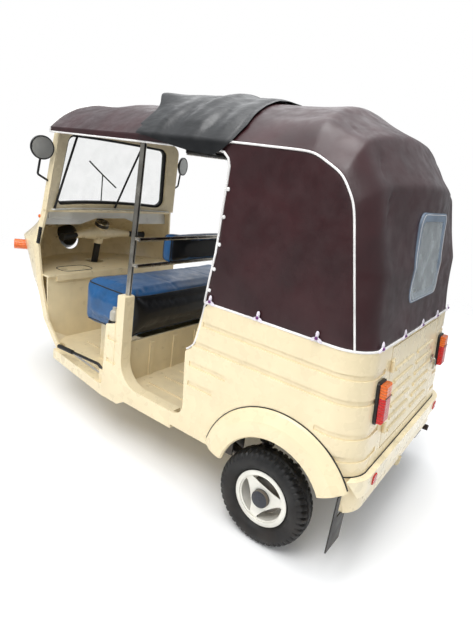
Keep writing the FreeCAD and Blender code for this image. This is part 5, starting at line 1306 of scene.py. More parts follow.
@dataclass
class RainTarp:
    """Loose rain sheet thrown over the roof: bunched in folds, one side hanging, one corner turned up."""

    front: float = 1.060
    rear: float = 1.570
    right: float = -0.42
    half: float = 0.597
    spring: float = 1.515
    crest: float = 1.7455
    flat_length: float = 0.56
    flat_ease: float = 1.1
    rows: int = 90
    columns: int = 130
    thickness: float = 0.0012

    def surface(self) -> Array:
        """Lays the sheet over the roof's arch and down the left side.

        Returns:
            A grid of points of the hood's arch and side, moved out along the arch's normal by a base gap and a
            sum of slanting folds that die away on the hanging side, with the front corner lifted.
        """
        u = np.linspace(0, 1, self.rows)[:, None]
        v = np.linspace(0, 1, self.columns)[None, :]
        half, spring, crest = self.half, self.spring, self.crest
        rise = crest - spring
        radius = (half**2 + rise**2) / (2 * rise)
        low = 1.512 - 0.050 * np.sin(np.clip(u / 0.80, 0, 1) * math.pi / 2) ** 1.4
        low = low + 0.055 * np.clip((u - 0.84) / 0.16, 0, 1) ** 1.5
        hang = spring - low
        whole_angle = math.asin(half / radius)
        right_angle = -math.asin(-self.right / radius)
        arc = radius * (whole_angle - right_angle)
        length = hang + arc
        gone = v * length
        on_side = gone < hang
        angle = whole_angle - np.maximum(gone - hang, 0) / radius
        x = np.where(on_side, half, radius * np.sin(angle))
        z = np.where(on_side, low + gone, crest - radius + radius * np.cos(angle))
        front = self.front - 0.035 * np.sin(v * 4.2 + 0.4) * (v > 0.05)
        rear = self.rear - 0.13 * np.clip(v - 0.10, 0, 1) ** 0.8 + 0.012 * np.sin(v * 9 + 1)
        station = front + (rear - front) * u
        lowered = np.clip((gone - hang) / 0.09, 0, 1)
        out_x = np.where(on_side, 1.0, 1 - lowered * (1 - np.sin(angle)))
        out_z = np.where(on_side, 0.0, lowered * np.cos(angle))
        slant = (station + 0.10 * v) * 2 * math.pi
        folds = (
            0.60 * np.sin(slant / 0.190 + v * 3.0 + 0.5 * np.sin(v * 5))
            + 0.30 * np.sin(slant / 0.105 - v * 4.0)
            + 0.15 * np.sin(slant / 0.33 + v * 6.0)
        )
        bulge = np.sin(np.clip(u * 1.04, 0, 1) * math.pi) ** 0.55
        side_room = 0.30 + 0.70 * np.clip((gone - hang) / 0.12 + 0.3, 0, 1)
        hump = np.exp(-(((v - 0.50) / 0.25) ** 2))
        lift = 0.004 + bulge * side_room * (0.011 + 0.010 * folds + 0.005 * hump)
        points = np.stack([x, at(station), z], axis=-1)
        lift = lift + 0.0015 * ripple(points, 0.10, 12)
        lift = np.maximum(lift, 0.0015)
        corner = np.exp(-((u / 0.10) ** 2)) * np.exp(-np.abs((v - 0.30) / 0.075) ** 1.7)
        lift = lift + 0.034 * corner
        points[..., 0] += lift * out_x
        points[..., 2] += lift * out_z
        points[..., 1] -= 0.085 * corner
        return points

    def build(self) -> None:
        """Makes the sheet as a thin closed shell."""
        points = self.surface()
        sheet = slab(points, self.thickness)
        tarp = make_piece("rain_tarp", sheet, Finishes.TARP, "body", sharp_deg=80)
        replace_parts(tarp, "rain_flap")
        area = mesh_area(tarp) / 2


# Seats


class Face(Enum):
    """Side of a pad that a person leans on."""

    TOP = "top"
    FRONT = "front"


@dataclass
class Pad:
    """A stuffed cushion with a crowned top, sides that pull in, sewn channels and piped edges."""

    name: str
    low: tuple[float, float, float]
    high: tuple[float, float, float]
    radius: float
    crown: float
    node: str
    fill: float
    channels: tuple[float, ...] = ()
    face: Face = Face.TOP
    seam_depth: float = 0.005
    seam_width: float = 0.006
    seam_reach: float = 0.05
    swell_cap: float = 0.012
    cord: float = 0.0035

    def shape(self) -> Patch:
        """Rounded box whose faces swell by inset * (1 - a^2)(1 - |b|^3) at the shares a and b of a face."""
        low, high = np.array(self.low), np.array(self.high)
        inset = self.crown * vec(0.5, 0.8, 0.6)
        patch = block(low + inset, high - inset, self.radius, 34)
        middle, half = (low + high) / 2, (high - low) / 2 - inset
        q = np.clip((patch.points - middle) / half, -1, 1)
        for axis in range(3):
            others = [i for i in range(3) if i != axis]
            swell = (1 - q[:, others[0]] ** 2) * (1 - np.abs(q[:, others[1]]) ** 3)
            side = np.sign(q[:, axis]) * np.clip((np.abs(q[:, axis]) - 0.6) / 0.4, 0, 1)
            patch.points[:, axis] += side * swell * inset[axis] * 0.95
        return patch

    def sew(self, piece: bpy.types.Object) -> None:
        """Presses the sewn channels into the leaning side, as narrow dips exp(-(d / w)^2).

        Args:
            piece: The pad's object.
        """
        mesh = piece.data
        points = mesh_points(mesh)
        low, high = np.array(self.low) + LIFT, np.array(self.high) + LIFT
        axis, toward, sign = (2, high[2], 1) if self.face is Face.TOP else (1, low[1], -1)
        near = np.clip(1 - np.abs(points[:, axis] - toward) / self.seam_reach, 0, 1)
        for place in self.channels:
            x = low[0] + (high[0] - low[0]) * place
            dip = self.seam_depth * np.exp(-(((points[:, 0] - x) / self.seam_width) ** 2)) * near
            points[:, axis] -= dip * sign
        mesh.vertices.foreach_set("co", points.ravel())
        mesh.update()

    def inflate(self, piece: bpy.types.Object) -> None:
        """Swells the pad by a cloth simulation under pressure, whose way is capped at every point.

        Args:
            piece: The pad's object.
        """
        scene = bpy.context.scene
        bpy.context.view_layer.objects.active = piece
        remesh = piece.modifiers.new("remesh", "REMESH")
        remesh.mode = "VOXEL"
        remesh.voxel_size = 0.011
        bpy.ops.object.modifier_apply(modifier=remesh.name)
        before = mesh_points(piece.data)
        cloth = piece.modifiers.new("cloth", "CLOTH")
        cloth.settings.use_pressure = True
        cloth.settings.uniform_pressure_force = 4
        cloth.settings.effector_weights.gravity = 0
        cloth.settings.quality = 4
        for number in range(1, 13):
            scene.frame_set(number)
        bpy.ops.object.modifier_apply(modifier=cloth.name)
        way = mesh_points(piece.data) - before
        scene.frame_set(1)
        length = np.maximum(np.linalg.norm(way, axis=1, keepdims=True), 1e-9)
        moved = before + way / length * np.minimum(length, self.swell_cap)
        low, high = np.array(self.low) + LIFT - 0.004, np.array(self.high) + LIFT + 0.004
        piece.data.vertices.foreach_set("co", np.clip(moved, low, high).ravel())
        piece.data.update()

    def hugged(self, piece: bpy.types.Object, path: Array) -> Array:
        """Lays a closed path on the pad.

        Args:
            piece: The pad's object.
            path: Points near its surface.

        Returns:
            A smooth path through the nearest points of the surface.
        """
        near = [piece.closest_point_on_mesh(tuple(point))[1] for point in path + LIFT]
        return smooth_line(np.array([tuple(point) for point in near])[::2], 160, True) - LIFT

    def piping(self, piece: bpy.types.Object) -> Patch:
        """Runs a corded seam round the edge of the leaning side and of the side opposite.

        Args:
            piece: The pad's object.

        Returns:
            Both cords as one surface.
        """
        low, high = np.array(self.low) + 0.008, np.array(self.high) - 0.008
        middle, half = (low + high) / 2, (high - low) / 2
        turn = np.linspace(0, 2 * math.pi, 160, endpoint=False)
        across, along = (np.sign(wave) * np.abs(wave) ** 0.16 for wave in (np.cos(turn), np.sin(turn)))
        drop = self.radius * 0.30
        depth, side = (2, 1) if self.face is Face.TOP else (1, 2)
        path = np.empty((len(turn), 3))
        path[:, 0] = middle[0] + half[0] * across * 0.997
        path[:, side] = middle[side] + half[side] * along * 0.985
        cords = []
        for level in (high[depth] - drop, low[depth] + drop):
            path[:, depth] = level
            cords.append(tube(self.hugged(piece, path), self.cord, 7, np.eye(3)[depth], True))
        return joined(cords)

    def build(self) -> bpy.types.Object:
        """Makes the pad, its sewn channels and its piping."""
        piece = make_piece(self.name, self.shape(), Finishes.SEAT, "body", sharp_deg=80)
        self.inflate(piece)
        self.sew(piece)
        store_panel(piece, lambda points, normals: np.clip((0.80 - np.abs(normals[:, 1])) / 0.10, 0, 1))
        piece.data.polygons.foreach_set("use_smooth", np.ones(len(piece.data.polygons), dtype=bool))
        soften = piece.modifiers.new("soft", "SUBSURF")
        soften.levels = soften.render_levels = 1
        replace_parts(piece, self.node)
        bpy.context.view_layer.update()
        cords = self.piping(piece)
        make_piece(self.name + "_piping", cords, Finishes.SEAT, "body", sharp_deg=80)
        return piece


@dataclass
class Seats:
    """Driver's bench and backrest, passenger bench and backrest."""

    pads: tuple[Pad, ...] = (
        Pad(
            "driver_bench", (-0.532, at(0.640), 0.513), (0.532, at(1.052), 0.772),
            0.032, 0.020, "seat_cushions", 0.85,
            (0.333, 0.667),
        ),
        Pad(
            "driver_backrest", (-0.330, at(0.9915), 0.905), (0.330, at(1.0865), 1.072),
            0.028, 0.016, "backrests", 0.8,
            (), Face.FRONT,
        ),
        Pad(
            "passenger_bench", (-0.550, at(1.590), 0.540), (0.550, at(1.990), 0.660),
            0.034, 0.022, "seat_cushions", 0.8,
            (0.25, 0.5, 0.75),
        ),
        Pad(
            "passenger_backrest", (-0.550, at(1.993), 0.600), (0.550, at(2.080), 1.060),
            0.034, 0.018, "backrests", 0.8,
            (0.25, 0.5, 0.75), Face.FRONT,
        ),
    )

    def build(self) -> None:
        """Makes every pad."""
        for pad in self.pads:
            pad.build()


# Wheels


@dataclass
class Tyre:
    """Small lugged tyre: a turned carcass cut by slanting shoulder grooves and two notched rings."""

    tag: str
    centre: tuple[float, float, float]
    body: str
    radius: float = 0.2055
    half: float = 0.0555
    rim: float = 0.121
    rim_half: float = 0.0315
    lugs: int = 46
    steps: int = 416
    depth: float = 0.0075
    slant: float = 9.0
    groove_share: float = 0.34
    shoulder: float = 0.021
    tread_drop: float = 0.024
    wall_drop: float = 0.030
    ring_place: float = 0.014
    ring_notch: float = 0.002
    ring_width: float = 0.0026
    edge_steepness: float = 900.0

    def profile(self) -> Array:
        """Outer profile (x, radius) from bead to bead, smooth through its knots."""
        r, h, rim = self.radius, self.half, self.rim
        half = [
            (self.rim_half, rim - 0.010), (self.rim_half + 0.002, rim + 0.006), (h - 0.009, rim + 0.016),
            (h, rim + 0.040), (h - 0.002, r - 0.026), (h - 0.010, r - 0.009), (h - 0.026, r - 0.002),
            (0.012, r),
        ]
        knots = np.array([(x, z) for x, z in half] + [(-x, z) for x, z in reversed(half)])
        return smooth_line(np.column_stack([knots, np.zeros(len(knots))]), 84)[:, :2]

    def spun(self, x: Array, r: Array | float, turn: Array) -> Array:
        """Carries a profile round the axle.

        Args:
            x: Places of the profile along the axle.
            r: Its radii.
            turn: Turns about the axle, of shape (steps, 1).

        Returns:
            Points of shape (steps, points of the profile, 3).
        """
        places = np.broadcast_arrays(x, r * np.sin(turn), r * np.cos(turn))
        return np.stack(places, axis=-1) + np.array(self.centre)

    def build(self) -> None:
        """Makes the tyre with its tread, and the bore that sits on the rim."""
        line = self.profile()
        turn = np.linspace(0, 2 * math.pi, self.steps, endpoint=False)[:, None]
        x, r = line[:, 0], line[:, 1]
        steep = self.edge_steepness
        phase = turn * self.lugs / (2 * math.pi) + np.abs(x) * self.slant + 0.5 * (x > 0)
        lug = np.abs(phase - np.floor(phase) - 0.5) * 2
        groove = 1 / (1 + np.exp((lug - self.groove_share) * 26))
        shoulder = 1 / (1 + np.exp(-(np.abs(x) - self.shoulder) * steep))
        tread = 1 / (1 + np.exp(-(r - (self.radius - self.tread_drop)) * steep))
        notch = self.ring_notch * np.sign(np.sin(turn * self.lugs))
        ring = np.exp(-(((np.abs(x) - self.ring_place - notch) / self.ring_width) ** 2))
        cut = self.depth * tread * np.maximum(groove * shoulder, 0.75 * ring)
        wall = 1 / (1 + np.exp((r - (self.radius - self.wall_drop)) * steep))
        bead = 0.0008 * np.sin(np.clip((r - self.rim) / 0.05, 0, 1) * 26) * wall
        r = r - cut + bead
        bore = self.spun(np.array([-1, 0, 1]) * self.rim_half, self.rim - 0.011, turn)
        rings = np.concatenate([self.spun(x, r, turn), bore], axis=1)
        tread = grid(rings, wrap_u=True, wrap_v=True)
        tyre = make_piece("tread_" + self.tag, tread, Finishes.TYRE, self.body, sharp_deg=50)
        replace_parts(tyre, "tyre_" + self.tag)


@dataclass
class Wheel:
    """Pressed wheel: flanged rim, disc with three lens shaped windows, brake drum and a dark centre cap."""

    tag: str
    centre: tuple[float, float, float]
    body: str
    outward: int
    rim: float = 0.121
    bead: float = 0.109
    rim_half: float = 0.039
    window_chord: float = 0.054
    window_reach: float = 0.097
    window_half_deg: float = 50.0
    first_window_deg: float = 15.0
    drum: tuple[tuple[float, float], ...] = (
        (-0.034, 0.0153), (-0.034, 0.072), (-0.032, 0.074), (0.004, 0.074), (0.007, 0.072), (0.014, 0.038),
        (0.043, 0.038), (0.046, 0.035), (0.046, 0.0153),
    )
    cap: tuple[tuple[float, float], ...] = (
        (0.0255, 0.0385), (0.0405, 0.0372), (0.0455, 0.0345), (0.0475, 0.030), (0.0475, 0.0), (0.0462, 0.0),
        (0.0462, 0.0361), (0.0255, 0.0381),
    )

    def disc(self) -> Patch:
        """Lays out the disc's outer face.

        Returns:
            A polar grid without its windows. Each window lies between the circle of its reach and the chord
            reach / cos(a), which rises to the circle as sqrt(1 - (a / half)^6) falls to 0 at the window's ends.
        """
        count = 216
        turn = np.arange(count) * 2 * math.pi / count
        apart = np.degrees(turn) - self.first_window_deg
        apart = (apart + 60) % 120 - 60
        share = np.clip(np.abs(apart) / self.window_half_deg, 0, 1)
        chord = self.window_chord / np.cos(np.radians(np.minimum(np.abs(apart), self.window_half_deg)))
        low = self.window_reach - (self.window_reach - chord) * np.sqrt(1 - share**6) - 0.0004
        inner, outer = 0.033, self.bead - 0.003
        rings = [inner + (low - inner) * k / 5 for k in range(6)]
        rings += [np.full(count, self.window_reach), np.full(count, outer)]
        radius = np.array(rings)
        x = self.outward * (0.026 + (radius - inner) / (outer - inner) * 0.006)
        points = np.stack([x, radius * np.sin(turn), radius * np.cos(turn)], axis=-1) + np.array(self.centre)
        patch = grid(points, wrap_v=True)
        quads = patch.faces[0].reshape(len(rings) - 1, count, 4)
        middle = (apart + (apart + 360 / count)) / 2
        solid = np.ones(quads.shape[:2], dtype=bool)
        solid[5] = np.abs(middle) > self.window_half_deg - 1
        patch.faces = [quads[solid]]
        return patch

    def build(self) -> None:
        """Makes the rim, the disc, the drum and the cap."""
        half, rim, bead = self.rim_half, self.rim, self.bead
        lip = [
            (-half, rim), (-half, bead - 0.006), (half, bead - 0.006), (half, rim - 0.002),
            (half - 0.002, rim + 0.001), (half - 0.005, rim), (half - 0.0066, bead), (-half + 0.0066, bead),
            (-half + 0.006, rim),
        ]
        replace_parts(self.ring("rim_", lip, Finishes.WHEEL, 96), "wheel_" + self.tag)
        disc = make_piece(
            "disc_" + self.tag, self.disc(), Finishes.WHEEL, self.body, closed=False
        )
        if disc.data.polygons[0].normal.x * self.outward < 0:
            disc.data.flip_normals()
        solidify(disc, 0.004)
        self.ring("drum_", self.drum, Finishes.ENGINE)
        self.ring("hub_cap_", self.cap, Finishes.HUB)

    def ring(
        self, name: str, profile: Sequence[Sequence[float]], finish: Finish, steps: int = 64
    ) -> bpy.types.Object:
        """A piece of the wheel, turned round the axle."""
        patch = turned(profile, np.array(self.centre), vec(self.outward, 0, 0), steps, True)
        return make_piece(name + self.tag, patch, finish, self.body, sharp_deg=35)


@dataclass
class Wheels:
    """Tyres and wheel trim of the three wheels."""

    places: tuple[tuple[str, tuple[float, float, float], str, int], ...] = (
        ("front", (0.0, FRONT_AXLE, AXLE_HEIGHT), "front_wheel", 1),
        ("rear_left", (0.5875, REAR_AXLE, AXLE_HEIGHT), "rear_wheel_left", 1),
        ("rear_right", (-0.5875, REAR_AXLE, AXLE_HEIGHT), "rear_wheel_right", -1),
    )

    def build(self) -> None:
        """Makes every tyre and its wheel's trim."""
        for tag, centre, body, outward in self.places:
            Tyre(tag, centre, body).build()
            Wheel(tag, centre, body, outward).build()


@dataclass
class Springs:
    """Coil springs round the dampers."""

    wire: float = 0.0055
    coil: float = 0.0275

    rear_foot: tuple[float, float, float] = (0.4995, at(1.901), 0.209)
    rear_head: tuple[float, float, float] = (0.4735, at(1.879), 0.540)
    front_foot: tuple[float, float, float] = (-0.102, at(0.008), 0.197)
    front_head: tuple[float, float, float] = (-0.108, at(-0.022) + 0.054, 0.502)
    front_wire: float = 0.0045
    front_coil: float = 0.0235
    column_tilt_deg: float = 10.0

    def coil_points(self, low: Array, high: Array, turns: float, radius: float) -> Array:
        """Winds a helix round the line between two points.

        Args:
            low: Where it starts.
            high: Where it ends.
            turns: Number of turns.
            radius: Its distance from the line.

        Returns:
            The points low + (high - low) * t + radius * (cos a, sin a) across.
        """
        share = np.linspace(0, 1, int(turns * 28))[:, None]
        axis = (high - low) / np.linalg.norm(high - low)
        side = np.cross(axis, vec(1, 0.1, 0))
        side /= np.linalg.norm(side)
        other = np.cross(axis, side)
        angle = share * turns * 2 * math.pi
        return low + (high - low) * share + radius * (np.cos(angle) * side + np.sin(angle) * other)

    def build(self) -> None:
        """Makes the rear pair and the front spring."""
        foot, head = np.array(self.rear_foot), np.array(self.rear_head)
        path = self.coil_points(foot + (head - foot) * 0.17, foot + (head - foot) * 0.855, 8, self.coil)
        make_pair("rear_springs", tube(path, self.wire, 8, (0.2, 0.1, 1)), Finishes.BLACK)
        foot, head = np.array(self.front_foot), np.array(self.front_head)
        head[1] += math.tan(math.radians(self.column_tilt_deg)) * (head[2] - PIVOT_HEIGHT)
        path = self.coil_points(foot + (head - foot) * 0.17, foot + (head - foot) * 0.85, 7, self.front_coil)
        coil = tube(path, self.front_wire, 8, (0.2, 0.1, 1))
        make_piece("front_spring", coil, Finishes.BLACK, "steering")


# Rear fittings


def tub_rear(height: float | Array) -> float | Array:
    """Station of the tub's raked rear face at a height."""
    return 2.334 + (height - 0.255) / (0.880 - 0.255) * (2.272 - 2.334)


@dataclass
class RearFittings:
    """Lamp bezels, reflectors, door catch, fender strips, cord along the tub's front edge and painted shade in
    the bumper's gap.
    """

    lamp_x: float = 0.448
    lamp_foot: float = 0.606
    fender_half: float = 0.6105
    fender_station: float = 2.0
    fender_radius: float = 0.352
    gap_height: float = 0.4045
    corner_half: float = 0.480
    corner_radius: float = 0.130
    reflectors: tuple[float, ...] = (0.440, -0.470)
    edge_half: float = 0.6075

    def build(self) -> None:
        """Makes every fitting."""
        self.build_bezels()
        self.build_reflectors()
        self.build_catch()
        self.build_fender_strips()
        self.build_edge_cord()
        self.build_gap_shade()

    def build_gap_shade(self) -> None:
        """Black cord of painted shade in the gap between the tub's rear and the bumper, round both corners."""
        radius = self.corner_radius
        turn = np.linspace(0, math.pi / 2, 20)
        station = tub_rear(0.404) + 0.001 - radius + radius * np.sin(turn)
        x = self.corner_half + radius * np.cos(turn)
        left = np.stack([x, at(station), np.full_like(turn, self.gap_height)], axis=1)
        path = np.vstack([left, left[::-1] * vec(-1, 1, 1)])
        # Painted shade: a black rubber cord stands in for the shadow in the gap between the tub and the bumper.
        make_piece("gap_shade", tube(path, 0.0025, 8), Finishes.RUBBER, "body")

    def build_bezels(self) -> None:
        """Black bezel round each tail lamp and the bar between its colours, on the raked face."""
        tilt = math.atan2(0.062, 0.625)
        up = vec(0, -math.sin(tilt), math.cos(tilt))
        out = vec(0, math.cos(tilt), math.sin(tilt))
        foot = vec(self.lamp_x, at(tub_rear(self.lamp_foot)), self.lamp_foot)
        outer = rounded_outline(0.040, -0.008, 0.158, 0.014, 0)
        inner = rounded_outline(0.0335, -0.0005, 0.1505, 0.009, 0)
        rings = []
        for outline, depth in ((outer, 0.0008), (outer, 0.010), (inner, 0.013), (inner, 0.0008)):
            rings.append(foot + outline[:, :1] * vec(1, 0, 0) + outline[:, 1:] * up + out * depth)
        left = grid(np.array(rings), wrap_u=True, wrap_v=True)
        make_pair("lamp_bezels", left, Finishes.BLACK_PLASTIC, 30)
        across, along = inner[:, :1] * 1.03, 0.1005 + (inner[:, 1:] - 0.075) * 0.02
        bar = extruded(foot + across * vec(1, 0, 0) + along * up + out * 0.0355, out * 0.0022)
        make_pair("lamp_bars", bar, Finishes.BLACK_PLASTIC, 30)

    def build_reflectors(self) -> None:
        """Red reflectors near the bumper's ends."""
        pieces = []
        for x in self.reflectors:
            outline = rounded_outline(0.020, 0.346, 0.388, 0.008, 0)
            base = np.stack([x + outline[:, 0], np.full(len(outline), 1.3202), outline[:, 1]], axis=1)
            rings = [base]
            for shrink, depth in ((1.0, 0.003), (0.9, 0.0055)):
                middle = base.mean(axis=0)
                rings.append(middle + (base - middle) * shrink + vec(0, depth, 0))
            pieces.append(capped(np.array(rings)))
        make_piece("reflectors", joined(pieces), Finishes.REFLECTOR, "body", sharp_deg=30)

    def build_catch(self) -> None:
        """Turn handle and lock plate near the engine door's free edge."""
        y = at(tub_rear(0.655))
        plate = block(vec(-0.340, y, 0.635), vec(-0.312, y + 0.005, 0.680), 0.002, 8)
        knots = [(-0.326, 0, 0.660), (-0.326, 0.018, 0.660), (-0.322, 0.022, 0.640), (-0.320, 0.020, 0.610)]
        handle = tube(smooth_line(np.array(knots) + vec(0, y, 0), 24), 0.005, 10, (1, 0, 0))
        make_piece("door_catch", plate + handle, Finishes.CHROME, "engine_door")

    def build_fender_strips(self) -> None:
        """Rubber strip along each fender's outer edge, an arc about the axle."""
        turn = np.radians(np.linspace(-76, 60.5, 90))
        ups = np.stack([np.zeros_like(turn), np.sin(turn), np.cos(turn)], axis=1)
        centre = vec(self.fender_half, at(self.fender_station), PIVOT_HEIGHT)
        path = centre + self.fender_radius * ups
        profile = [(-0.002, -0.0022), (0.0022, -0.0022), (0.0034, 0.0), (0.0022, 0.0024), (-0.002, 0.0024)]
        make_pair("fender_strips", sweep(path, np.array(profile), ups), Finishes.RUBBER, 50)

    def build_edge_cord(self) -> None:
        """White cord that edges the tub panel below the hood's front corner."""
        stations = (1.560, 1.556, 1.549, 1.540, 1.524, 1.500, 1.486)
        heights = (0.882, 0.858, 0.800, 0.740, 0.690, 0.662, 0.652)
        knots = np.array([(self.edge_half, at(station), z) for station, z in zip(stations, heights)])
        cord = tube(smooth_line(knots, 60), 0.0042, 8, (1, 0, 0))
        make_pair("edge_cord", cord, Finishes.PIPING)


# Cabin


@dataclass
class Cabin:
    """Trim of the dial, bottle, shelf lid, mirrors, wiper, headlamp, grips, post, screen and nose."""

    bar_height: float = 0.892
    column_tilt_deg: float = 10.0
    column_foot: float = -0.022
    dial_tilt: float = 0.42
    bottle: tuple[float, float, float] = (0.580, at(0.978), 0.6065)
    lid: tuple[float, float, float] = (0.27, at(0.215), 0.6905)
    mirror: tuple[float, float, float] = (0.554, at(0.286), 1.393)
    grip_end: float = 0.345
    grip_rings: int = 13
    screen_radius: float = 1.500
    screen_lean_deg: float = 8.0
    side_lens: tuple[float, float, float] = (0.5127, at(0.208), 1.0161)
    lamp: tuple[float, float, float] = (0, at(-0.295), 0.800)

    def bar_middle(self) -> Array:
        """Middle of the handlebar on the steering axis."""
        drift = math.tan(math.radians(self.column_tilt_deg)) * (self.bar_height - PIVOT_HEIGHT)
        return vec(0, at(self.column_foot) + drift, self.bar_height)

    def build(self) -> None:
        """Makes every fitting."""
        self.build_dial()
        self.build_bottle()
        self.build_shelf_lid()
        self.build_mirror_glass()
        self.build_wiper()
        self.build_headlamp_ring()
        self.build_grip_rings()
        self.build_stub_trim()
        self.build_screen_trim()
        self.build_nose_trim()
        self.build_lamp_shell()

    def build_dial(self) -> None:
        """Dial face with ticks and needle under a bevelled ring, on the instrument's top."""
        lean = vec(0, self.dial_tilt, 1)
        lean /= np.linalg.norm(lean)
        foot = self.bar_middle() + lean * 0.054
        profile = [(0.0245, 0.0472), (0.0285, 0.0472), (0.0300, 0.0455), (0.0298, 0.0415), (0.0283, 0.0408)]
        ring = turned(profile + [(0.0283, 0.0470)], foot, lean, 64, True)
        make_piece("dial_ring", ring, Finishes.CHROME, "steering")
        face = turned([(0.0281, 0.0), (0.0281, 0.041), (0.0286, 0.041), (0.0286, 0.0)], foot, lean, 64)
        make_piece("dial_face", face, Finishes.DIAL, "steering")
        side = vec(1, 0, 0)
        other = np.cross(lean, side)
        marks = []
        for angle in np.radians(np.linspace(-130, 130, 14)):
            way = np.sin(angle) * side + np.cos(angle) * other
            marks.append(sweep(foot + lean * 0.0288 + np.outer([0.031, 0.038], way), circle(0.0008, 6), lean))
        needle_way = np.sin(-2.1) * side + np.cos(-2.1) * other
        needle = foot + lean * 0.0292 + np.outer([-0.006, 0.029], needle_way)
        marks.append(sweep(needle, circle(0.0009, 6), lean))
        make_piece("dial_marks", joined(marks), Finishes.PLASTIC_WHITE, "steering")

    def build_bottle(self) -> None:
        """Fluid bottle with its cap, standing on the pillar box's black cover."""
        foot = np.array(self.bottle)
        lid = [(0.0, 0.0), (0.0, 0.030), (0.010, 0.030), (0.016, 0.026), (0.018, 0.018), (0.018, 0.0)]
        cover = turned(lid, foot, vec(0, 0, 1), 40)
        make_piece("stub_cover", cover, Finishes.BLACK_PLASTIC, "body")
        flask = [(0.018, 0.0), (0.018, 0.021), (0.022, 0.024), (0.058, 0.024), (0.066, 0.020), (0.072, 0.012)]
        bottle = turned(flask + [(0.086, 0.012), (0.086, 0.0)], foot, vec(0, 0, 1), 40)
        make_piece("fluid_bottle", bottle, Finishes.BOTTLE, "body")

    def build_shelf_lid(self) -> None:
        """Rounded lid seam on the parcel shelf."""
        turn = np.linspace(0, 2 * math.pi, 80, endpoint=False)
        across, along = np.cos(turn), np.sin(turn)
        x = 0.11 * np.sign(across) * np.abs(across) ** 0.5
        y = 0.062 * np.sign(along) * np.abs(along) ** 0.6
        path = np.array(self.lid) + np.stack([x, y, np.zeros_like(turn)], axis=1)
        seam = tube(path, 0.0025, 6, (0, 0, 1), True)
        make_piece("shelf_lid_seam", seam, Finishes.BLACK_PLASTIC, "body")

    def build_mirror_glass(self) -> None:
        """Mirror glass with a raised rim in each round head."""
        facing = vec(0.25, 1, 0) / math.hypot(0.25, 1)
        head = np.array(self.mirror)
        glass = turned([(0.0101, 0.0), (0.0101, 0.056), (0.0112, 0.056), (0.0112, 0.0)], head, facing, 48)
        make_pair("mirror_glass", glass, Finishes.MIRROR)
        profile = [(0.006, 0.0622), (0.012, 0.0622), (0.0138, 0.060), (0.0132, 0.056), (0.0101, 0.0555)]
        rim = turned(profile, head, facing, 48, True)
        make_pair("mirror_rims", rim, Finishes.BLACK_PLASTIC)

    def screen_point(self, x: float | Array, z: float | Array, out: float) -> Array:
        """Finds points on the windscreen's curved, leaning outer face.

        Args:
            x: Places across the vehicle.
            z: Heights.
            out: Distance to the front of the face.

        Returns:
            The points, of shape (n, 3).
        """
        radius = self.screen_radius
        y = 0.140 + radius - np.sqrt((radius - 0.012 + out) ** 2 - np.asarray(x) ** 2)
        lean = math.radians(self.screen_lean_deg)
        rise = (z - 1.060) / math.cos(lean)
        offset = y - 0.200
        station = 0.200 + offset * math.cos(lean) + rise * math.sin(lean)
        return np.stack([x, at(station), z], axis=-1)

    def build_wiper(self) -> None:
        """Wiper arm and blade on the driver's side of the windscreen."""
        share = np.linspace(0, 1, 20)
        arm = self.screen_point(0.02 + 0.02 * share, 1.075 + 0.20 * share, 0.030)
        blade = self.screen_point(-0.07 + 0.24 * share, 1.20 + 0.15 * share, 0.016)
        wiper = tube(arm, 0.004, 8) + tube(blade, 0.005, 6)
        make_piece("wiper", wiper, Finishes.BLACK, "body")

    def build_headlamp_ring(self) -> None:
        """Chrome ring round the headlamp."""
        centre = np.array(self.lamp)
        profile = [(0.004, 0.0835), (0.0, 0.0835), (0.0, 0.074), (0.0035, 0.0725), (0.006, 0.076)]
        ring = turned(profile, centre, vec(0, 1, 0), 64, True)
        make_piece("headlamp_ring", ring, Finishes.CHROME, "body")

    def build_grip_rings(self) -> None:
        """Raised rings along both rubber grips."""
        rings = []
        profile = [(0.0, 0.0178), (0.0, 0.0194), (0.0042, 0.0194), (0.0042, 0.0178)]
        middle = self.bar_middle()
        for side in (1, -1):
            root = vec(side * (self.grip_end - 0.115 - 0.014), middle[1] + 0.070 * 0.62, middle[2] - 0.006)
            tip = vec(side * self.grip_end, middle[1] + 0.070, middle[2] - 0.010)
            way = (tip - root) / np.linalg.norm(tip - root)
            for i in range(self.grip_rings):
                rings.append(turned(profile, root + way * (0.012 + i * 0.0078), way, 28, True))
        make_piece("grip_rings", joined(rings), Finishes.GRIP, "steering")

    def build_screen_trim(self) -> None:
        """White ledge along the windscreen's foot, black stays behind the glass and a pale box on the dash."""
        x = np.linspace(-0.47, 0.47, 60)
        path = self.screen_point(x, np.full(60, 1.0645), -0.041)
        flat = np.array([(-0.013, -0.003), (0.013, -0.003), (0.013, 0.003), (-0.013, 0.003)])
        make_piece("screen_ledge", sweep(path, flat, (0, 0, 1)), Finishes.PLASTIC_WHITE, "body")
        share = np.linspace(0, 1, 24)
        stays = []
        for foot, head in ((0.452, 0.330), (-0.045, -0.190)):
            line = self.screen_point(foot + (head - foot) * share, 1.070 + 0.425 * share, -0.035)
            stays.append(tube(line, 0.0065, 10, (0, 1, 0)))
        make_piece("screen_stays", joined(stays), Finishes.BLACK, "body")
        box = block(vec(0.302, at(0.2115), 1.004), vec(0.462, at(0.221), 1.050), 0.003, 8)
        make_piece("dash_box", box, Finishes.PLASTIC_WHITE, "body")

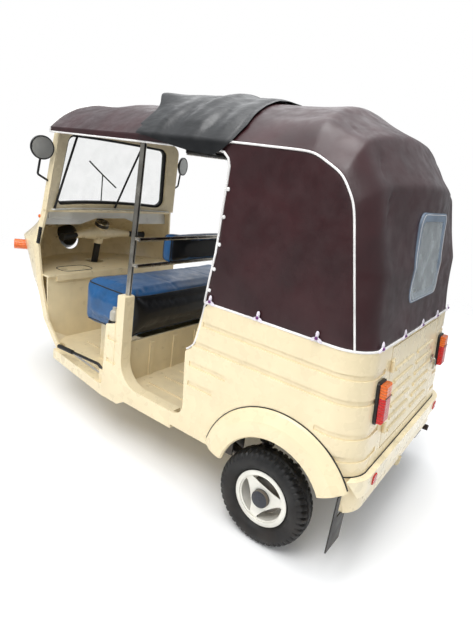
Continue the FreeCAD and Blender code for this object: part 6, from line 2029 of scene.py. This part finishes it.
    def build_nose_trim(self) -> None:
        """Small red lens and black louvred strip on the left side of the nose, below the windscreen."""
        lean = vec(0.985, 0, 0.17)
        dome = [(-0.001, 0.0), (-0.001, 0.010), (0.003, 0.0095), (0.0055, 0.006), (0.006, 0.0)]
        lens = turned(dome, np.array(self.side_lens), lean, 32)
        make_piece("side_lens", lens, Finishes.REFLECTOR, "body")
        strips = []
        for z in np.linspace(0.950, 0.872, 8):
            x = 0.5245 + (0.9488 - z) * 0.172
            low, high = vec(x - 0.002, at(0.226), z - 0.0036), vec(x + 0.0055, at(0.250), z + 0.0036)
            strips.append(block(low, high, 0.0012, 6))
        base = np.array([(0.5245 + (0.9488 - z) * 0.172, at(0.238), z) for z in (0.958, 0.864)])
        flat = np.array([(-0.014, -0.0015), (0.014, -0.0015), (0.014, 0.0022), (-0.014, 0.0022)])
        louvre = joined(strips) + sweep(base, flat, lean)
        make_piece("nose_louvre", louvre, Finishes.BLACK_PLASTIC, "body", sharp_deg=30)

    def build_lamp_shell(self) -> None:
        """Dark shell over the back of the headlamp."""
        profile = [
            (0.003, 0.0840), (0.003, 0.0852), (0.0405, 0.0852), (0.0718, 0.0617), (0.0735, 0.0595),
            (0.0735, 0.0), (0.0705, 0.0), (0.0705, 0.058), (0.0400, 0.0840),
        ]
        shell = turned(profile, np.array(self.lamp), vec(0, 1, 0), 64, True)
        make_piece("headlamp_shell", shell, Finishes.BLACK_PLASTIC, "body")

    def build_stub_trim(self) -> None:
        """Folded seam along the pillar post."""
        path = np.array([[0.611, at(1.024), 0.70], [0.611, at(1.024), 0.40]])
        make_piece("post_seam", tube(path, 0.0012, 6), Finishes.CREAM, "body")


# Studio


@dataclass
class Studio:
    """Plain pale floor, soft lamps, white surroundings and the camera at the photograph's angle."""

    floor_radius: float = 60.0
    floor_fade: tuple[float, float] = (2.2, 6.0)
    floor_colour: Colour = (0.985, 0.983, 0.98)
    camera_place: tuple[float, float, float] = (2.081, 1.685, 1.457)
    azimuth_deg: float = 123.89
    elevation_deg: float = 16.84
    roll_deg: float = 8.21
    focal_pixels: float = 468.7
    picture_height: float = 630

    def build(self) -> None:
        """Makes the floor, the lamps, the surroundings and the camera."""
        self.build_floor()
        self.build_world()
        self.build_lamps()
        self.build_camera()
        bpy.context.scene.view_settings.view_transform = "Standard"

    def build_floor(self) -> None:
        """Pale floor disc at the vehicle's feet."""
        turn = np.linspace(0, 2 * math.pi, 96, endpoint=False)
        radius = self.floor_radius
        rim = np.stack([radius * np.cos(turn), radius * np.sin(turn), np.full_like(turn, -0.0005)], axis=1)
        mesh = bpy.data.meshes.new("floor")
        mesh.from_pydata(rim.tolist(), [], [list(range(len(rim)))])
        floor = bpy.data.objects.new("floor", mesh)
        bpy.context.scene.collection.objects.link(floor)
        net = Net("pale floor")
        net.give("Base Color", linear(self.floor_colour))
        net.give("Roughness", 0.9)
        net.give("Specular IOR Level", 0.1)
        reach = net.add("VectorMath")
        reach.operation = "LENGTH"
        net.link(net.place, reach.inputs[0])
        net.give("Alpha", net.ranged(reach.outputs["Value"], *self.floor_fade, 1, 0))
        mesh.materials.append(net.material)

    def build_world(self) -> None:
        """White where the camera sees it, and for the rest a soft light that is brighter from above."""
        world = bpy.data.worlds.new("surroundings")
        bpy.context.scene.world = world
        world.use_nodes = True
        tree = world.node_tree
        tree.nodes.clear()
        add, link = tree.nodes.new, tree.links.new
        output, mix = add("ShaderNodeOutputWorld"), add("ShaderNodeMixShader")
        soft, white = add("ShaderNodeBackground"), add("ShaderNodeBackground")
        soft.inputs["Color"].default_value = (0.94, 0.97, 1.0, 1)
        white.inputs["Color"].default_value = (1.0, 1.0, 1.0, 1)
        split, sky = add("ShaderNodeSeparateXYZ"), add("ShaderNodeMapRange")
        for name, value in (("From Min", -0.1), ("From Max", 0.8), ("To Min", 0.30), ("To Max", 0.95)):
            sky.inputs[name].default_value = value
        link(add("ShaderNodeTexCoord").outputs["Generated"], split.inputs[0])
        link(split.outputs["Z"], sky.inputs["Value"])
        link(sky.outputs["Result"], soft.inputs["Strength"])
        link(add("ShaderNodeLightPath").outputs["Is Camera Ray"], mix.inputs[0])
        link(soft.outputs[0], mix.inputs[1])
        link(white.outputs[0], mix.inputs[2])
        link(mix.outputs[0], output.inputs["Surface"])

    def build_lamps(self) -> None:
        """Large soft lamps above, in front and behind, aimed at the vehicle's middle."""
        for name, place, size, power in (
            ("key", (3.0, 0.9, 4.6), 2.6, 140),
            ("fill", (-4.2, -2.6, 3.4), 4.5, 50),
            ("top", (0.0, 0.2, 5.2), 3.0, 110),
        ):
            lamp = bpy.data.lights.new(name, "AREA")
            lamp.size = size
            lamp.energy = power
            thing = bpy.data.objects.new(name, lamp)
            bpy.context.scene.collection.objects.link(thing)
            place_vec = np.array(place)
            thing.matrix_world = look_matrix(place_vec, place_vec - vec(0, 0, 0.7), 0.0)

    def build_camera(self) -> None:
        """Camera at the fitted place, turned by its azimuth, elevation and roll."""
        a, e = math.radians(self.azimuth_deg), math.radians(self.elevation_deg)
        back = vec(math.sin(a) * math.cos(e), -math.cos(a) * math.cos(e), math.sin(e))
        camera = bpy.data.cameras.new("camera")
        camera.sensor_fit = "AUTO"
        camera.sensor_width = 36
        camera.lens = self.focal_pixels * 36 / self.picture_height
        camera.clip_end = 200
        thing = bpy.data.objects.new("camera", camera)
        bpy.context.scene.collection.objects.link(thing)
        thing.matrix_world = look_matrix(np.array(self.camera_place), back, self.roll_deg)
        bpy.context.scene.camera = thing


def look_matrix(place: Array, back: Array, roll_deg: float) -> Matrix:
    """Matrix of a camera or lamp.

    Args:
        place: Where it stands.
        back: Direction that its back points along.
        roll_deg: Turn about that direction.

    Returns:
        The matrix, whose columns are its right, its up, its back and its place.
    """
    back = back / np.linalg.norm(back)
    right = np.cross(vec(0, 0, 1), back)
    right = right / np.linalg.norm(right)
    up = np.cross(back, right)
    roll = math.radians(roll_deg)
    across = right * math.cos(roll) + up * math.sin(roll)
    above = -right * math.sin(roll) + up * math.cos(roll)
    rows = [[across[i], above[i], back[i], place[i]] for i in range(3)]
    return Matrix(rows + [[0, 0, 0, 1]])


def main() -> None:
    """Dresses the solids and builds every sub-assembly in order."""
    logging.basicConfig(level=logging.INFO, format="%(message)s")
    Studio().build()
    dress_nodes()
    cloth = (RearHood(), FrontRoof(), RainTarp())
    for assembly in cloth + (Seats(), Wheels(), Springs(), RearFittings(), Cabin()):
        assembly.build()


if __name__ == "__main__":
    main()
